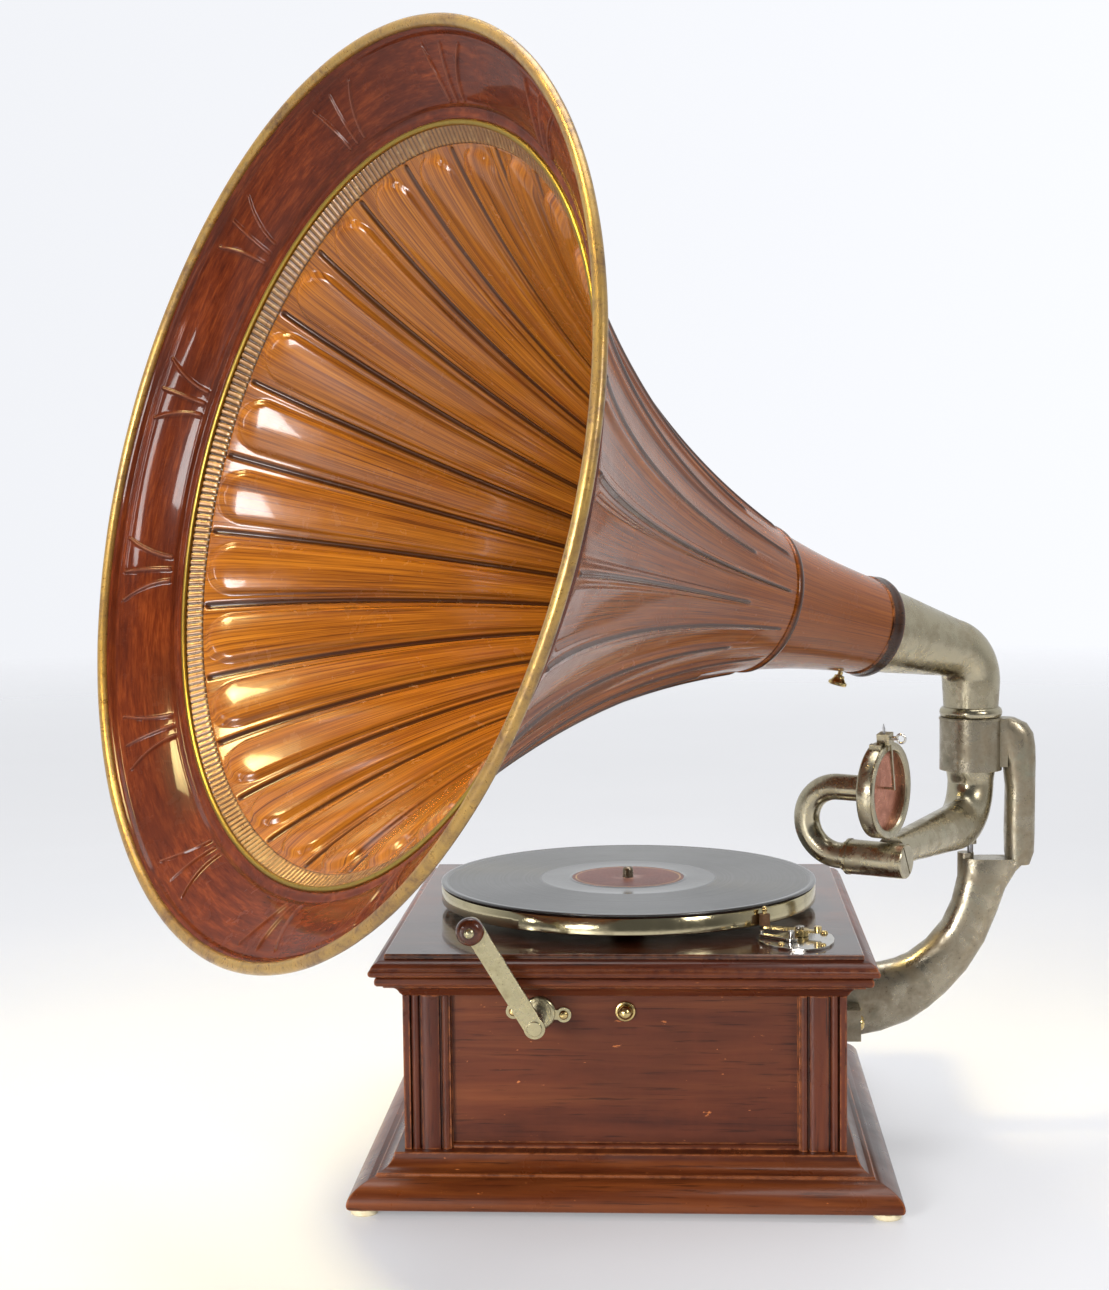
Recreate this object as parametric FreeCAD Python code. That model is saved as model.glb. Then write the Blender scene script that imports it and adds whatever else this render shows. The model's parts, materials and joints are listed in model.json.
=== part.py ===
import FreeCAD, Part
import math
import os

os.makedirs("parts", exist_ok=True)
V = FreeCAD.Vector

# ---------------------------------------------------------------- driving dimensions, mm
DEPTH_EXTRA = 6.0          # the case is 12 mm deeper (Y) than it is wide (X)
FOOT_H = 4.0
FOOT_R = 8.5
PLINTH_HALF = 167.0        # half width of the plinth
PLINTH_TOP = 32.3
POST_HALF = 134.9          # half width over the corner posts
POST_W = 28.9
POST_TOP = 128.2
PANEL_HALF = 128.4         # outer face of the panels
PANEL_T = 10.0
CORNICE_TOP = 142.7
LID_HALF = 144.4
LID_TOP = 155.9
WALL_IN = 124.0            # inner half width of plinth and cornice frames

RECORD_R = 125.0
RECORD_TOP = 174.9
RECORD_T = 2.0
RECORD_HOLE = 3.62
LABEL_R = 37.7
PLATTER_R = 124.7
PLATTER_BOTTOM = 161.3
PLATTER_LIP = 172.2
FELT_T = 1.3
SPINDLE_R = 3.57
SPINDLE_TOP = 181.9

CRANK_X, CRANK_Z = -52.0, 116.2
CRANK_ARM_Y = -173.5       # front face of the crank arm
CRANK_ARM_L = 71.0
CRANK_ARM_TILT = 31.0      # degrees from upright, towards -X
CRANK_KNOB_R = 8.4
CRANK_KNOB_L = 15.5

PIV_X = 227.0              # swivel axis of tonearm and horn
COLLAR_BOTTOM, COLLAR_TOP = 246.8, 281.7
COLLAR_R = 20.3
COLLAR_BORE = 15.95

ARM_ANGLE = 60.9           # tonearm direction at rest, degrees from -X towards -Y
ARM_BARREL_DIST = 134.0    # swivel axis to cross barrel
ARM_BARREL_Z = 207.3
ARM_TUBE_Z = 212.2
BARREL_R = 10.7
GOOSE_R = 8.0
GOOSE_SPAN = 43.4          # barrel axis to sound box axis
SB_R = 29.4
SB_FRONT = 3.7             # front face of the sound box along the barrel axis
NEEDLE_LEN = 42.3          # sound box centre to needle tip
NEEDLE_LEAN = 10.0         # degrees from upright at rest

ELBOW_Z = 324.2            # where horn axis meets the swivel axis
HORN_DIR = V(-0.7701, -0.5962, 0.2269)
HORN_L = 500.4             # elbow corner to mouth plane
HORN_R = 250.6
RIM_BEAD_R = 3.4
SEAM_S, SEAM_R = 192.0, 45.6
NECK_S, NECK_R = 95.0, 30.6
RING_S, RING_R = 467.5, 209.5
SHEET = 1.1                # modelled sheet thickness of the horn
SEAM_PHASE = -71.3         # first long seam of the horn's 13 leaves, degrees from straight down

# spring motor
BAR_X, BAR_Y = -52.0, -40.0
GEAR_M = 1.5
BED_Z0, BED_Z1 = 137.2, 140.2
LOW_Z0, LOW_Z1 = 50.0, 53.0
GOV_Z = 82.0
WORM_R = 5.5
WHEEL_Z = 16
WORM_M = 1.25


# ---------------------------------------------------------------- helpers
def cyl(x, y, z, r, h, d=(0, 0, 1)):
    return Part.makeCylinder(r, h, V(x, y, z), V(*d))


def cone(x, y, z, r0, r1, h, d=(0, 0, 1)):
    return Part.makeCone(r0, r1, h, V(x, y, z), V(*d))


def box(x0, y0, z0, x1, y1, z1):
    return Part.makeBox(x1 - x0, y1 - y0, z1 - z0, V(x0, y0, z0))


def fuse(shapes):
    s = shapes[0]
    if len(shapes) > 1:
        s = s.fuse(shapes[1:])
    return s.removeSplitter()


def group(shapes):
    return Part.makeCompound(shapes)


def prism(points, z0, z1):
    pts = [V(x, y, z0) for x, y in points]
    pts.append(pts[0])
    return Part.Face(Part.makePolygon(pts)).extrude(V(0, 0, z1 - z0))


def solid_from(verts, faces):
    fs = []
    for f in faces:
        p = [verts[i] for i in f]
        p.append(p[0])
        fs.append(Part.Face(Part.makePolygon(p)))
    shell = Part.makeShell(fs)
    s = Part.makeSolid(shell)
    if s.Volume < 0:
        s.reverse()
    return s


def turned(profile, origin=V(0, 0, 0), axis=V(0, 0, 1)):
    """Solid of revolution of (radius, height) points about axis through origin."""
    pts = [V(r, 0, z) for r, z in profile]
    pts.append(pts[0])
    s = Part.Face(Part.makePolygon(pts)).revolve(V(0, 0, 0), V(0, 0, 1), 360)
    if s.Volume < 0:
        s.reverse()
    s.Placement = FreeCAD.Placement(origin, FreeCAD.Rotation(V(0, 0, 1), axis))
    return s


def export(shape, name):
    shape.exportStep("parts/" + name + ".step")


def mitred(profile, k=DEPTH_EXTRA):
    """Four lengths of moulding, mitred at the corners. profile: closed list of (half width, z)."""
    out = []
    n = len(profile)
    for side in range(4):
        verts = []
        for end in (-1, 1):
            for o, z in profile:
                if side == 0:
                    verts.append(V(end * o, -(o + k), z))
                elif side == 1:
                    verts.append(V(o, end * (o + k), z))
                elif side == 2:
                    verts.append(V(-end * o, (o + k), z))
                else:
                    verts.append(V(-o, -end * (o + k), z))
        faces = [[i, (i + 1) % n, n + (i + 1) % n, n + i] for i in range(n)]
        faces.append(list(range(n)))
        faces.append(list(range(n, 2 * n)))
        out.append(solid_from(verts, faces))
    return out


def arc2(cx, cz, r, a0, a1, n):
    return [(cx + r * math.cos(math.radians(a0 + (a1 - a0) * i / n)),
             cz + r * math.sin(math.radians(a0 + (a1 - a0) * i / n))) for i in range(n + 1)]


# ---------------------------------------------------------------- case
plinth = [(WALL_IN, FOOT_H), (165.4, FOOT_H), (166.6, 5.2), (167.0, 7.0), (166.7, 9.2), (165.8, 11.4), (164.2, 13.5),
          (161.9, 15.6), (158.8, 17.6), (155.4, 19.2), (152.2, 20.3), (150.6, 20.6), (150.4, 22.2), (149.2, 22.4),
          (146.9, 23.1), (144.7, 24.5), (142.9, 26.4), (141.6, 28.7), (140.8, 31.0), (140.6, PLINTH_TOP), (WALL_IN, PLINTH_TOP)]
export(group(mitred(plinth)), "plinth_moulding")

bb = box(-WALL_IN, -WALL_IN - DEPTH_EXTRA, 6.0, WALL_IN, WALL_IN + DEPTH_EXTRA, 14.0)
export(bb, "base_board")

FX, FY = 157.0, 163.0
export(group([turned([(0, 0), (FOOT_R - 0.8, 0), (FOOT_R, 0.8), (FOOT_R, FOOT_H - 0.4), (FOOT_R - 0.4, FOOT_H), (0, FOOT_H)],
                     V(sx * FX, sy * FY, 0)) for sx in (-1, 1) for sy in (-1, 1)]), "feet")


def post_profile():
    """Plan of the post at +X +Y, its outer faces reeded; symmetric about its diagonal."""
    w = POST_W
    # u runs from the panel side (0) to the outer corner (w); value is the depth below the outer plane
    prof = [(0.0, 1.6), (0.5, 1.6)]
    prof += [(0.9 + 2.1 * (1 - math.cos(math.radians(a))), 1.6 - 1.6 * math.sin(math.radians(a))) for a in (0, 30, 60, 90, 120, 150, 180)]
    prof += [(5.4, 2.6), (6.4, 2.6), (6.6, 1.0), (7.4, 0.5), (9.5, 0.1), (12.2, 0.0), (14.9, 0.1), (17.0, 0.5), (17.8, 1.0), (18.0, 2.6), (18.8, 2.6)]
    prof += [(19.0 + 2.5 * (1 - math.cos(math.radians(a))), 2.2 - 2.0 * math.sin(math.radians(a))) for a in (0, 30, 60, 90, 120, 150, 180)]
    prof += [(24.3, 2.4), (24.6, 0.0)]
    pts = []
    x0, y0 = POST_HALF - w, POST_HALF + DEPTH_EXTRA - w
    for u, d in prof:                       # +Y face, going towards +X
        pts.append((x0 + u, POST_HALF + DEPTH_EXTRA - d))
    pts.append((POST_HALF - 0.6, POST_HALF + DEPTH_EXTRA))
    pts.append((POST_HALF, POST_HALF + DEPTH_EXTRA - 0.6))
    for u, d in reversed(prof):             # +X face, going back down
        pts.append((POST_HALF - d, y0 + u))
    pts.append((x0, y0))
    return pts


pp = post_profile()
posts = []
for sx in (-1, 1):
    for sy in (-1, 1):
        posts.append(prism([(sx * x, sy * y) for x, y in pp], PLINTH_TOP, POST_TOP))
export(group(posts), "corner_posts")

PX = POST_HALF - POST_W            # where the panels meet the posts
PY = POST_HALF + DEPTH_EXTRA - POST_W


def panel(side):
    """Upright panel with a small quarter bead along its foot."""
    if side in ("front", "back"):
        s = -1 if side == "front" else 1
        yo = PANEL_HALF + DEPTH_EXTRA
        b = box(-PX, min(s * yo, s * (yo - PANEL_T)), PLINTH_TOP, PX, max(s * yo, s * (yo - PANEL_T)), POST_TOP)
        bead = Part.makeCylinder(2.6, 2 * PX, V(-PX, s * yo, PLINTH_TOP + 0.2), V(1, 0, 0))
        cut = box(-PX, min(s * (yo - 4), s * (yo + 4)), PLINTH_TOP, PX, max(s * (yo - 4), s * (yo + 4)), PLINTH_TOP + 4)
        return fuse([b, bead.common(cut)])
    s = -1 if side == "left" else 1
    xo = PANEL_HALF
    b = box(min(s * xo, s * (xo - PANEL_T)), -PY, PLINTH_TOP, max(s * xo, s * (xo - PANEL_T)), PY, POST_TOP)
    bead = Part.makeCylinder(2.6, 2 * PY, V(s * xo, -PY, PLINTH_TOP + 0.2), V(0, 1, 0))
    cut = box(min(s * (xo - 4), s * (xo + 4)), -PY, PLINTH_TOP, max(s * (xo - 4), s * (xo + 4)), PY, PLINTH_TOP + 4)
    return fuse([b, bead.common(cut)])


BTN_X, BTN_Z = 1.0, 117.3
fp = panel("front")
fp = fp.cut(cyl(CRANK_X, -160, CRANK_Z, 7.0, 60, (0, 1, 0)))
fp = fp.cut(cyl(BTN_X, -160, BTN_Z, 4.2, 60, (0, 1, 0)))
export(fp, "front_panel")
right_panel = panel("right")
for y in (-24.0, 24.0):            # holes for the bracket screws
    right_panel = right_panel.cut(cyl(112.0, y, 82.0, 2.5, 20.0, (1, 0, 0)))
export(group([panel("back"), panel("left"), right_panel]), "rear_side_panels")

cornice = [(WALL_IN, POST_TOP), (134.9, POST_TOP), (135.6, 129.2), (136.4, 130.0), (137.4, 131.9), (139.0, 133.5), (141.2, 134.6),
           (143.6, 135.1), (145.2, 135.2), (145.4, 136.6), (148.6, 136.9), (149.8, 138.0), (150.0, 139.9), (149.6, 141.7), (148.4, CORNICE_TOP), (WALL_IN, CORNICE_TOP)]
export(group(mitred(cornice)), "cornice_moulding")

lidm = [(130.0, CORNICE_TOP + 0.3), (151.4, CORNICE_TOP + 0.3), (152.8, 143.8), (153.3, 145.0), (153.3, 146.2), (152.6, 147.2), (151.9, 147.5),
        (151.7, 149.0), (150.4, 150.5), (148.4, 151.8), (146.2, 152.6), (144.0, 152.9), (130.0, 152.9)]
KNUCKLE_Y = 153.4 + DEPTH_EXTRA   # hinge knuckles let into the back edge
lid_rim = []
for m_ in mitred(lidm):
    for sx in (-1, 1):
        m_ = m_.cut(cyl(sx * 104.0 - 24.3, KNUCKLE_Y, CORNICE_TOP + 0.15, 2.6, 48.6, (1, 0, 0)))
    lid_rim.append(m_)
export(group(lid_rim), "lid_moulding")

SCREW_XY = [(-72.0, -62.0), (42.0, -62.0), (42.0, 62.0), (-72.0, 62.0)]
k = DEPTH_EXTRA
lb = box(-130, -130 - k, CORNICE_TOP + 0.3, 130, 130 + k, 152.9)
top = solid_from([V(sx * (LID_HALF - o), sy * (LID_HALF + k - o), z) for z, o in ((152.9, 0.0), (LID_TOP - 0.7, 0.0), (LID_TOP, 0.7))
                  for sx, sy in ((-1, -1), (1, -1), (1, 1), (-1, 1))],
                 [[0, 1, 2, 3], [8, 9, 10, 11]] + [[j * 4 + i, j * 4 + (i + 1) % 4, j * 4 + 4 + (i + 1) % 4, j * 4 + 4 + i] for j in (0, 1) for i in range(4)])
lb = fuse([lb, top])
lb = lb.cut(cyl(0, 0, 130, 7.0, 40))
for x, y in SCREW_XY:
    lb = lb.cut(cyl(x, y, 130, 2.6, 40))
BP = (102.6, -119.0)               # speed lever pivot
BR = (108.5, -103.5)               # brake lever pivot
lb = lb.cut(cyl(BP[0], BP[1], 130, 2.3, 40))
export(lb, "lid_board")

# lid hinges at the back, one pair of leaves on each side
hin = []
for sx in (-1, 1):
    x0 = sx * 104.0
    hy = 150.0 + k + 0.4
    upper = box(x0 - 24, hy - 8.0, CORNICE_TOP + 0.02, x0 + 24, hy + 1.4, CORNICE_TOP + 0.28)
    knuckle = cyl(x0 - 24, hy + 3.0, CORNICE_TOP + 0.15, 2.4, 48, (1, 0, 0))
    hin.append(fuse([upper, box(x0 - 24, hy - 0.4, CORNICE_TOP - 0.65, x0 + 24, hy + 2.0, CORNICE_TOP + 0.28).common(box(-300, hy + 0.0, 0, 300, hy + 9, 300)), knuckle]))
export(group(hin), "lid_hinges")

# ---------------------------------------------------------------- lid catch: ring, button
FRONT = -(PANEL_HALF + k)          # front face of the front panel
ring = turned([(4.45, 0), (6.0, 0), (6.3, 0.8), (6.0, 1.6), (4.9, 2.0), (4.45, 1.6)], V(BTN_X, FRONT, BTN_Z), V(0, -1, 0))
sleeve = turned([(3.35, 0), (4.2, 0), (4.2, -PANEL_T), (3.35, -PANEL_T)], V(BTN_X, FRONT, BTN_Z), V(0, -1, 0))
flg = turned([(3.35, 0), (6.0, 0), (6.0, 0.4), (3.35, 0.4)], V(BTN_X, FRONT, BTN_Z), V(0, -1, 0))
export(fuse([ring, flg, sleeve]), "latch_bezel")
button = turned([(0, -24.0), (1.6, -24.0), (1.6, -18.5), (3.3, -18.5), (3.3, 4.6), (4.1, 4.6), (4.1, 5.4), (3.7, 6.6), (2.7, 7.6), (1.4, 8.2), (0, 8.4)],
                V(BTN_X, FRONT, BTN_Z), V(0, -1, 0))
export(button, "latch_button")

# ---------------------------------------------------------------- crank
esc = turned([(7.0, 0), (10.2, 0), (10.4, 1.4), (9.6, 2.2), (8.2, 2.6), (7.0, 2.2)], V(CRANK_X, FRONT, CRANK_Z), V(0, -1, 0))
bush = turned([(5.06, 2.4), (7.4, 2.4), (7.4, 0.2), (7.0, 0.2), (7.0, -PANEL_T - 4), (5.06, -PANEL_T - 4)], V(CRANK_X, FRONT, CRANK_Z), V(0, -1, 0))
EAR = 15.4
ears = []
for s in (-1, 1):
    ears.append(cyl(CRANK_X + s * EAR * math.cos(0.07), FRONT, CRANK_Z - s * EAR * math.sin(0.07), 4.6, 1.6, (0, -1, 0)))
    ears.append(box(min(CRANK_X + s * 8.5, CRANK_X + s * EAR), FRONT - 1.6, CRANK_Z - s * 1.0 - 3.0, max(CRANK_X + s * 8.5, CRANK_X + s * EAR), FRONT, CRANK_Z - s * 1.0 + 3.0))
escut = fuse([esc] + ears + [bush])
for s in (-1, 1):
    escut = escut.cut(cyl(CRANK_X + s * EAR * math.cos(0.07), FRONT + 1, CRANK_Z - s * EAR * math.sin(0.07), 1.5, 5, (0, -1, 0)))
export(escut, "crank_escutcheon")
fp_s = []
for s in (-1, 1):
    q = V(CRANK_X + s * EAR * math.cos(0.07), FRONT - 1.6, CRANK_Z - s * EAR * math.sin(0.07))
    fp_s.append(turned([(0, -1.6), (1.5, -1.6), (1.5, 0), (2.9, 0), (2.7, 0.9), (1.9, 1.7), (0, 2.0)], q, V(0, -1, 0)))

SH_IN = BAR_Y - 12.0               # inner end of the crank shaft
shaft = cyl(CRANK_X, CRANK_ARM_Y + 3.0, CRANK_Z, 5.0, (SH_IN - 9.0) - (CRANK_ARM_Y + 3.0), (0, 1, 0))
a = math.radians(CRANK_ARM_TILT)
ax, az = -math.sin(a), math.cos(a)
KX, KZ = CRANK_X + ax * CRANK_ARM_L, CRANK_Z + az * CRANK_ARM_L
w = 6.0
nx, nz = az, -ax
quad = [V(CRANK_X + nx * w, CRANK_ARM_Y, CRANK_Z + nz * w), V(KX + nx * w, CRANK_ARM_Y, KZ + nz * w),
        V(KX - nx * w, CRANK_ARM_Y, KZ - nz * w), V(CRANK_X - nx * w, CRANK_ARM_Y, CRANK_Z - nz * w)]
quad.append(quad[0])
arm = fuse([Part.Face(Part.makePolygon(quad)).extrude(V(0, 3.0, 0)), cyl(CRANK_X, CRANK_ARM_Y, CRANK_Z, 6.4, 3.0, (0, 1, 0)),
            cyl(KX, CRANK_ARM_Y, KZ, w, 3.0, (0, 1, 0)), cyl(CRANK_X, CRANK_ARM_Y - 0.8, CRANK_Z, 4.3, 0.8, (0, 1, 0))])
arm = arm.cut(cyl(KX, CRANK_ARM_Y - 1, KZ, 2.0, 5, (0, 1, 0)))
pin = turned([(0, -3.0), (2.0, -3.0), (2.0, CRANK_KNOB_L + 0.6), (3.1, CRANK_KNOB_L + 0.6), (2.9, CRANK_KNOB_L + 1.6), (1.8, CRANK_KNOB_L + 2.3), (0, CRANK_KNOB_L + 2.5)],
             V(KX, CRANK_ARM_Y, KZ), V(0, -1, 0))
export(group([arm, pin]), "crank_arm")
L = CRANK_KNOB_L
R = CRANK_KNOB_R
knob = turned([(2.06, 0.4), (5.2, 0.4), (5.8, 1.4), (5.9, 2.4), (6.4, 4.0), (7.4, 6.0), (8.1, 8.2), (R, 10.4), (8.2, 12.4), (7.3, 14.1), (5.8, 15.2), (4.2, L), (2.06, L)],
              V(KX, CRANK_ARM_Y, KZ), V(0, -1, 0))
export(knob, "crank_knob")

# ---------------------------------------------------------------- turntable and record
FELT0 = RECORD_TOP - RECORD_T - 0.1 - FELT_T
platter = turned([(4.0, 157.9), (11.0, 157.9), (11.0, 160.5), (14.0, FELT0 - 2.4), (PLATTER_R - 3.2, FELT0 - 2.4), (PLATTER_R - 2.2, 168.0), (PLATTER_R - 2.2, PLATTER_BOTTOM + 0.6),
                  (PLATTER_R - 1.6, PLATTER_BOTTOM), (PLATTER_R - 0.5, PLATTER_BOTTOM), (PLATTER_R, PLATTER_BOTTOM + 0.6), (PLATTER_R, PLATTER_LIP - 0.8),
                  (PLATTER_R - 0.5, PLATTER_LIP - 0.1), (PLATTER_R - 1.2, PLATTER_LIP), (PLATTER_R - 2.0, PLATTER_LIP - 0.2), (PLATTER_R - 2.4, FELT0), (4.0, FELT0)])
export(platter, "platter")
export(turned([(4.2, FELT0), (PLATTER_R - 3.0, FELT0), (PLATTER_R - 3.0, FELT0 + FELT_T), (4.2, FELT0 + FELT_T)]), "platter_felt")
R0 = RECORD_TOP - RECORD_T
rec = turned([(RECORD_HOLE, R0 + 0.1), (LABEL_R, R0 + 0.1), (LABEL_R, R0), (RECORD_R - 0.8, R0), (RECORD_R, R0 + 0.6), (RECORD_R, RECORD_TOP - 0.6),
              (RECORD_R - 0.8, RECORD_TOP), (LABEL_R, RECORD_TOP), (LABEL_R, RECORD_TOP - 0.1), (RECORD_HOLE, RECORD_TOP - 0.1)])
export(rec, "record")
export(group([turned([(RECORD_HOLE, RECORD_TOP - 0.1), (LABEL_R, RECORD_TOP - 0.1), (LABEL_R, RECORD_TOP), (RECORD_HOLE, RECORD_TOP)]),
              turned([(RECORD_HOLE, R0), (LABEL_R, R0), (LABEL_R, R0 + 0.1), (RECORD_HOLE, R0 + 0.1)])]), "record_label")


def gear(z, m, x, y, z0, z1, phase, bore, thin=0.80, add=0.85, ded=1.15):
    """Spur gear with straight-sided teeth, thinned for backlash. phase: direction of one tooth's centre, radians."""
    rp = m * z / 2.0
    ra, rf = rp + add * m, rp - ded * m
    half_p = 0.25 * math.pi * m * thin
    half_a = half_p - add * m * math.tan(math.radians(22))
    half_f = half_p + (0.35 * m * math.tan(math.radians(20)) if z > 16 else 0.0)
    pts = []
    for i in range(z):
        c = phase + 2 * math.pi * i / z
        for r, h in ((rf, -half_f), (ra, -half_a), (ra, half_a), (rf, half_f)):
            t = c + h / r
            pts.append((x + r * math.cos(t), y + r * math.sin(t)))
    g = prism(pts, z0, z1)
    if bore > 0:
        g = g.cut(cyl(x, y, z0 - 1, bore, z1 - z0 + 2))
    return g


D1 = GEAR_M * (54 + 10) / 2.0
D2 = GEAR_M * (40 + 10) / 2.0
d0 = math.hypot(BAR_X, BAR_Y)
aa = (D1 * D1 - D2 * D2 + d0 * d0) / (2 * d0)
hh = math.sqrt(D1 * D1 - aa * aa)
dx, dy = -BAR_X / d0, -BAR_Y / d0
INT_X, INT_Y = BAR_X + aa * dx - hh * dy, BAR_Y + aa * dy + hh * dx
th_bi = math.atan2(INT_Y - BAR_Y, INT_X - BAR_X)       # barrel to intermediate
th_is = math.atan2(-INT_Y, -INT_X)                     # intermediate to spindle

spindle = turned([(0, 47.0), (2.5, 47.0), (2.5, 53.4), (4.0, 53.4), (4.0, 168.2), (SPINDLE_R, 168.6), (SPINDLE_R, 179.8), (3.1, 181.0), (2.1, 181.7), (0, SPINDLE_TOP)])
s_pin = gear(10, GEAR_M, 0, 0, 54.5, 60.5, th_is + math.pi + math.pi / 10, 3.0)
s_whl = gear(WHEEL_Z, WORM_M, 0, 0, GOV_Z - 1.5, GOV_Z + 1.5, 0.0, 3.0, thin=0.7, add=0.75)
hub = turned([(3.0, 76.0), (7.0, 76.0), (7.0, GOV_Z - 1.5), (3.0, GOV_Z - 1.5)])
export(fuse([spindle, s_pin, s_whl, hub]), "spindle")

# ---------------------------------------------------------------- spring motor
# barrel: toothed base, drum, lid, spring; winding arbor passes through it
drum = turned([(5.06, 64.0), (38.0, 64.0), (38.0, 98.0), (36.8, 98.0), (36.8, 70.5), (5.06, 70.5)], V(BAR_X, BAR_Y, 0))
ring_g = gear(54, GEAR_M, BAR_X, BAR_Y, 64.0, 69.0, th_bi, 30.0)
export(fuse([ring_g, drum]), "spring_barrel")
export(turned([(5.06, 98.0), (38.0, 98.0), (38.4, 98.4), (38.4, 99.6), (38.0, 100.0), (5.06, 100.0)], V(BAR_X, BAR_Y, 0)), "barrel_lid")


def spiral(n_turn, r0, r1, t, z0, z1, steps):
    pts_o, pts_i = [], []
    for i in range(steps + 1):
        f = i / steps
        ang = 2 * math.pi * n_turn * f
        r = r0 + (r1 - r0) * f
        pts_o.append((BAR_X + (r + t / 2) * math.cos(ang), BAR_Y + (r + t / 2) * math.sin(ang)))
        pts_i.append((BAR_X + (r - t / 2) * math.cos(ang), BAR_Y + (r - t / 2) * math.sin(ang)))
    return prism(pts_o + pts_i[::-1], z0, z1)


export(spiral(5.0, 14.0, 36.0, 0.9, 71.5, 96.5, 100), "mainspring")


def bevel(z, delta, add, ded, rr, kk, phase, half_t, origin, axis_rot, sign):
    """Straight bevel wheel. Rays from the apex; delta is the pitch cone's half angle."""
    outer, inner = [], []
    for i in range(z):
        c = phase + 2 * math.pi * i / z
        for da, ht in ((-ded, -half_t * 1.12), (add, -half_t * 0.62), (add, half_t * 0.62), (-ded, half_t * 1.12)):
            th = delta + da
            t = c + ht
            dvec = V(math.sin(th) * math.cos(t), math.sin(th) * math.sin(t), math.cos(th))
            outer.append(dvec * rr)
            inner.append(dvec * (rr * kk))
    n = len(outer)
    hb = min(p.z for p in outer) - 1.2
    hf = max(p.z for p in inner) * 1.0
    verts = outer + inner
    rb = rr * math.sin(delta - ded) * 0.8
    back = [V(rb * math.cos(math.atan2(p.y, p.x)), rb * math.sin(math.atan2(p.y, p.x)), max(q.z for q in outer) + 0.6) for p in outer]
    fr = rr * kk * math.sin(delta - ded) * 0.6
    front = [V(fr * math.cos(math.atan2(p.y, p.x)), fr * math.sin(math.atan2(p.y, p.x)), min(q.z for q in inner) - 0.0) for p in inner]
    verts = outer + inner + back + front
    faces = []
    for i in range(n):
        j = (i + 1) % n
        faces.append([i, j, n + j, n + i])
        faces.append([i, j, 2 * n + j])
        faces.append([i, 2 * n + j, 2 * n + i])
        faces.append([n + i, n + j, 3 * n + j])
        faces.append([n + i, 3 * n + j, 3 * n + i])
    faces.append(list(range(2 * n, 3 * n)))
    faces.append(list(range(3 * n, 4 * n)))
    s = solid_from(verts, faces)
    s.Placement = FreeCAD.Placement(origin, axis_rot)
    return s


BZ_W, BZ_P = 28, 12
RP_W, RP_P = 21.0, 9.0
APEX = V(BAR_X, BAR_Y, CRANK_Z)
CONE_R = math.hypot(RP_W, RP_P)
DEL_W, DEL_P = math.atan2(RP_W, RP_P), math.atan2(RP_P, RP_W)
ADD_A, DED_A = 0.048, 0.075
# wheel: local +Z runs down from the apex; pinion: local +Z runs towards -Y
wheel = bevel(BZ_W, DEL_W, ADD_A, DED_A, CONE_R, 0.78, math.pi / 2, 0.5 * math.pi / BZ_W * 0.78, APEX,
              FreeCAD.Rotation(V(1, 0, 0), 180), 1)
pinion = bevel(BZ_P, DEL_P, ADD_A, DED_A, CONE_R, 0.78, -math.pi / 2 + math.pi / BZ_P, 0.5 * math.pi / BZ_P * 0.78, APEX,
               FreeCAD.Rotation(V(1, 0, 0), 90), 1)
arbor = turned([(0, 48.0), (3.0, 48.0), (3.0, 54.0), (5.0, 54.0), (5.0, 72.0), (9.0, 72.0), (9.0, 96.0), (5.0, 96.0), (5.0, CRANK_Z - 9.5), (0, CRANK_Z - 9.5)],
               V(BAR_X, BAR_Y, 0))
export(fuse([arbor, wheel, turned([(0, CRANK_Z - 13.4), (9.5, CRANK_Z - 13.4), (9.5, CRANK_Z - 8.8), (0, CRANK_Z - 8.8)], V(BAR_X, BAR_Y, 0))]), "winding_arbor")
shaft2 = fuse([shaft, cyl(CRANK_X, SH_IN - 9.5, CRANK_Z, 4.0, 2.5, (0, 1, 0)), pinion])
export(shaft2, "crank_shaft")

int_arb = turned([(0, 47.5), (2.5, 47.5), (2.5, 53.4), (3.5, 53.4), (3.5, 76.0), (2.5, 76.0), (2.5, BED_Z1), (0, BED_Z1)], V(INT_X, INT_Y, 0))
i_gear = gear(40, GEAR_M, INT_X, INT_Y, 56.0, 59.0, th_is, 2.5)
i_pin = gear(10, GEAR_M, INT_X, INT_Y, 62.5, 70.5, th_bi + math.pi + math.pi / 10, 2.5)
export(fuse([int_arb, i_gear, i_pin]), "intermediate_arbor")

# governor: worm shaft along Y, weights on three leaf springs, friction disc
GX = WORM_M * WHEEL_Z / 2.0 + WORM_R
PITCH = math.pi * WORM_M


def thread(r0, r1, w0, w1, turns, n):
    verts, faces = [], []
    steps = int(turns * n)
    for i in range(steps + 1):
        t = i / n
        # the helix has a gap facing the wheel's tooth at y = 0
        phi = 2 * math.pi * t
        yy = PITCH * (t - turns / 2.0)
        for r, o in ((r0, -w0 / 2), (r1, -w1 / 2), (r1, w1 / 2), (r0, w0 / 2)):
            verts.append(V(GX - r * math.cos(phi), yy + o, GOV_Z + r * math.sin(phi)))
    for i in range(steps):
        b, c = 4 * i, 4 * i + 4
        for q in range(4):
            q2 = (q + 1) % 4
            faces.append([b + q, b + q2, c + q2])
            faces.append([b + q, c + q2, c + q])
    faces.append([0, 1, 2, 3])
    faces.append([4 * steps + q for q in range(4)])
    return solid_from(verts, faces)


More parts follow.
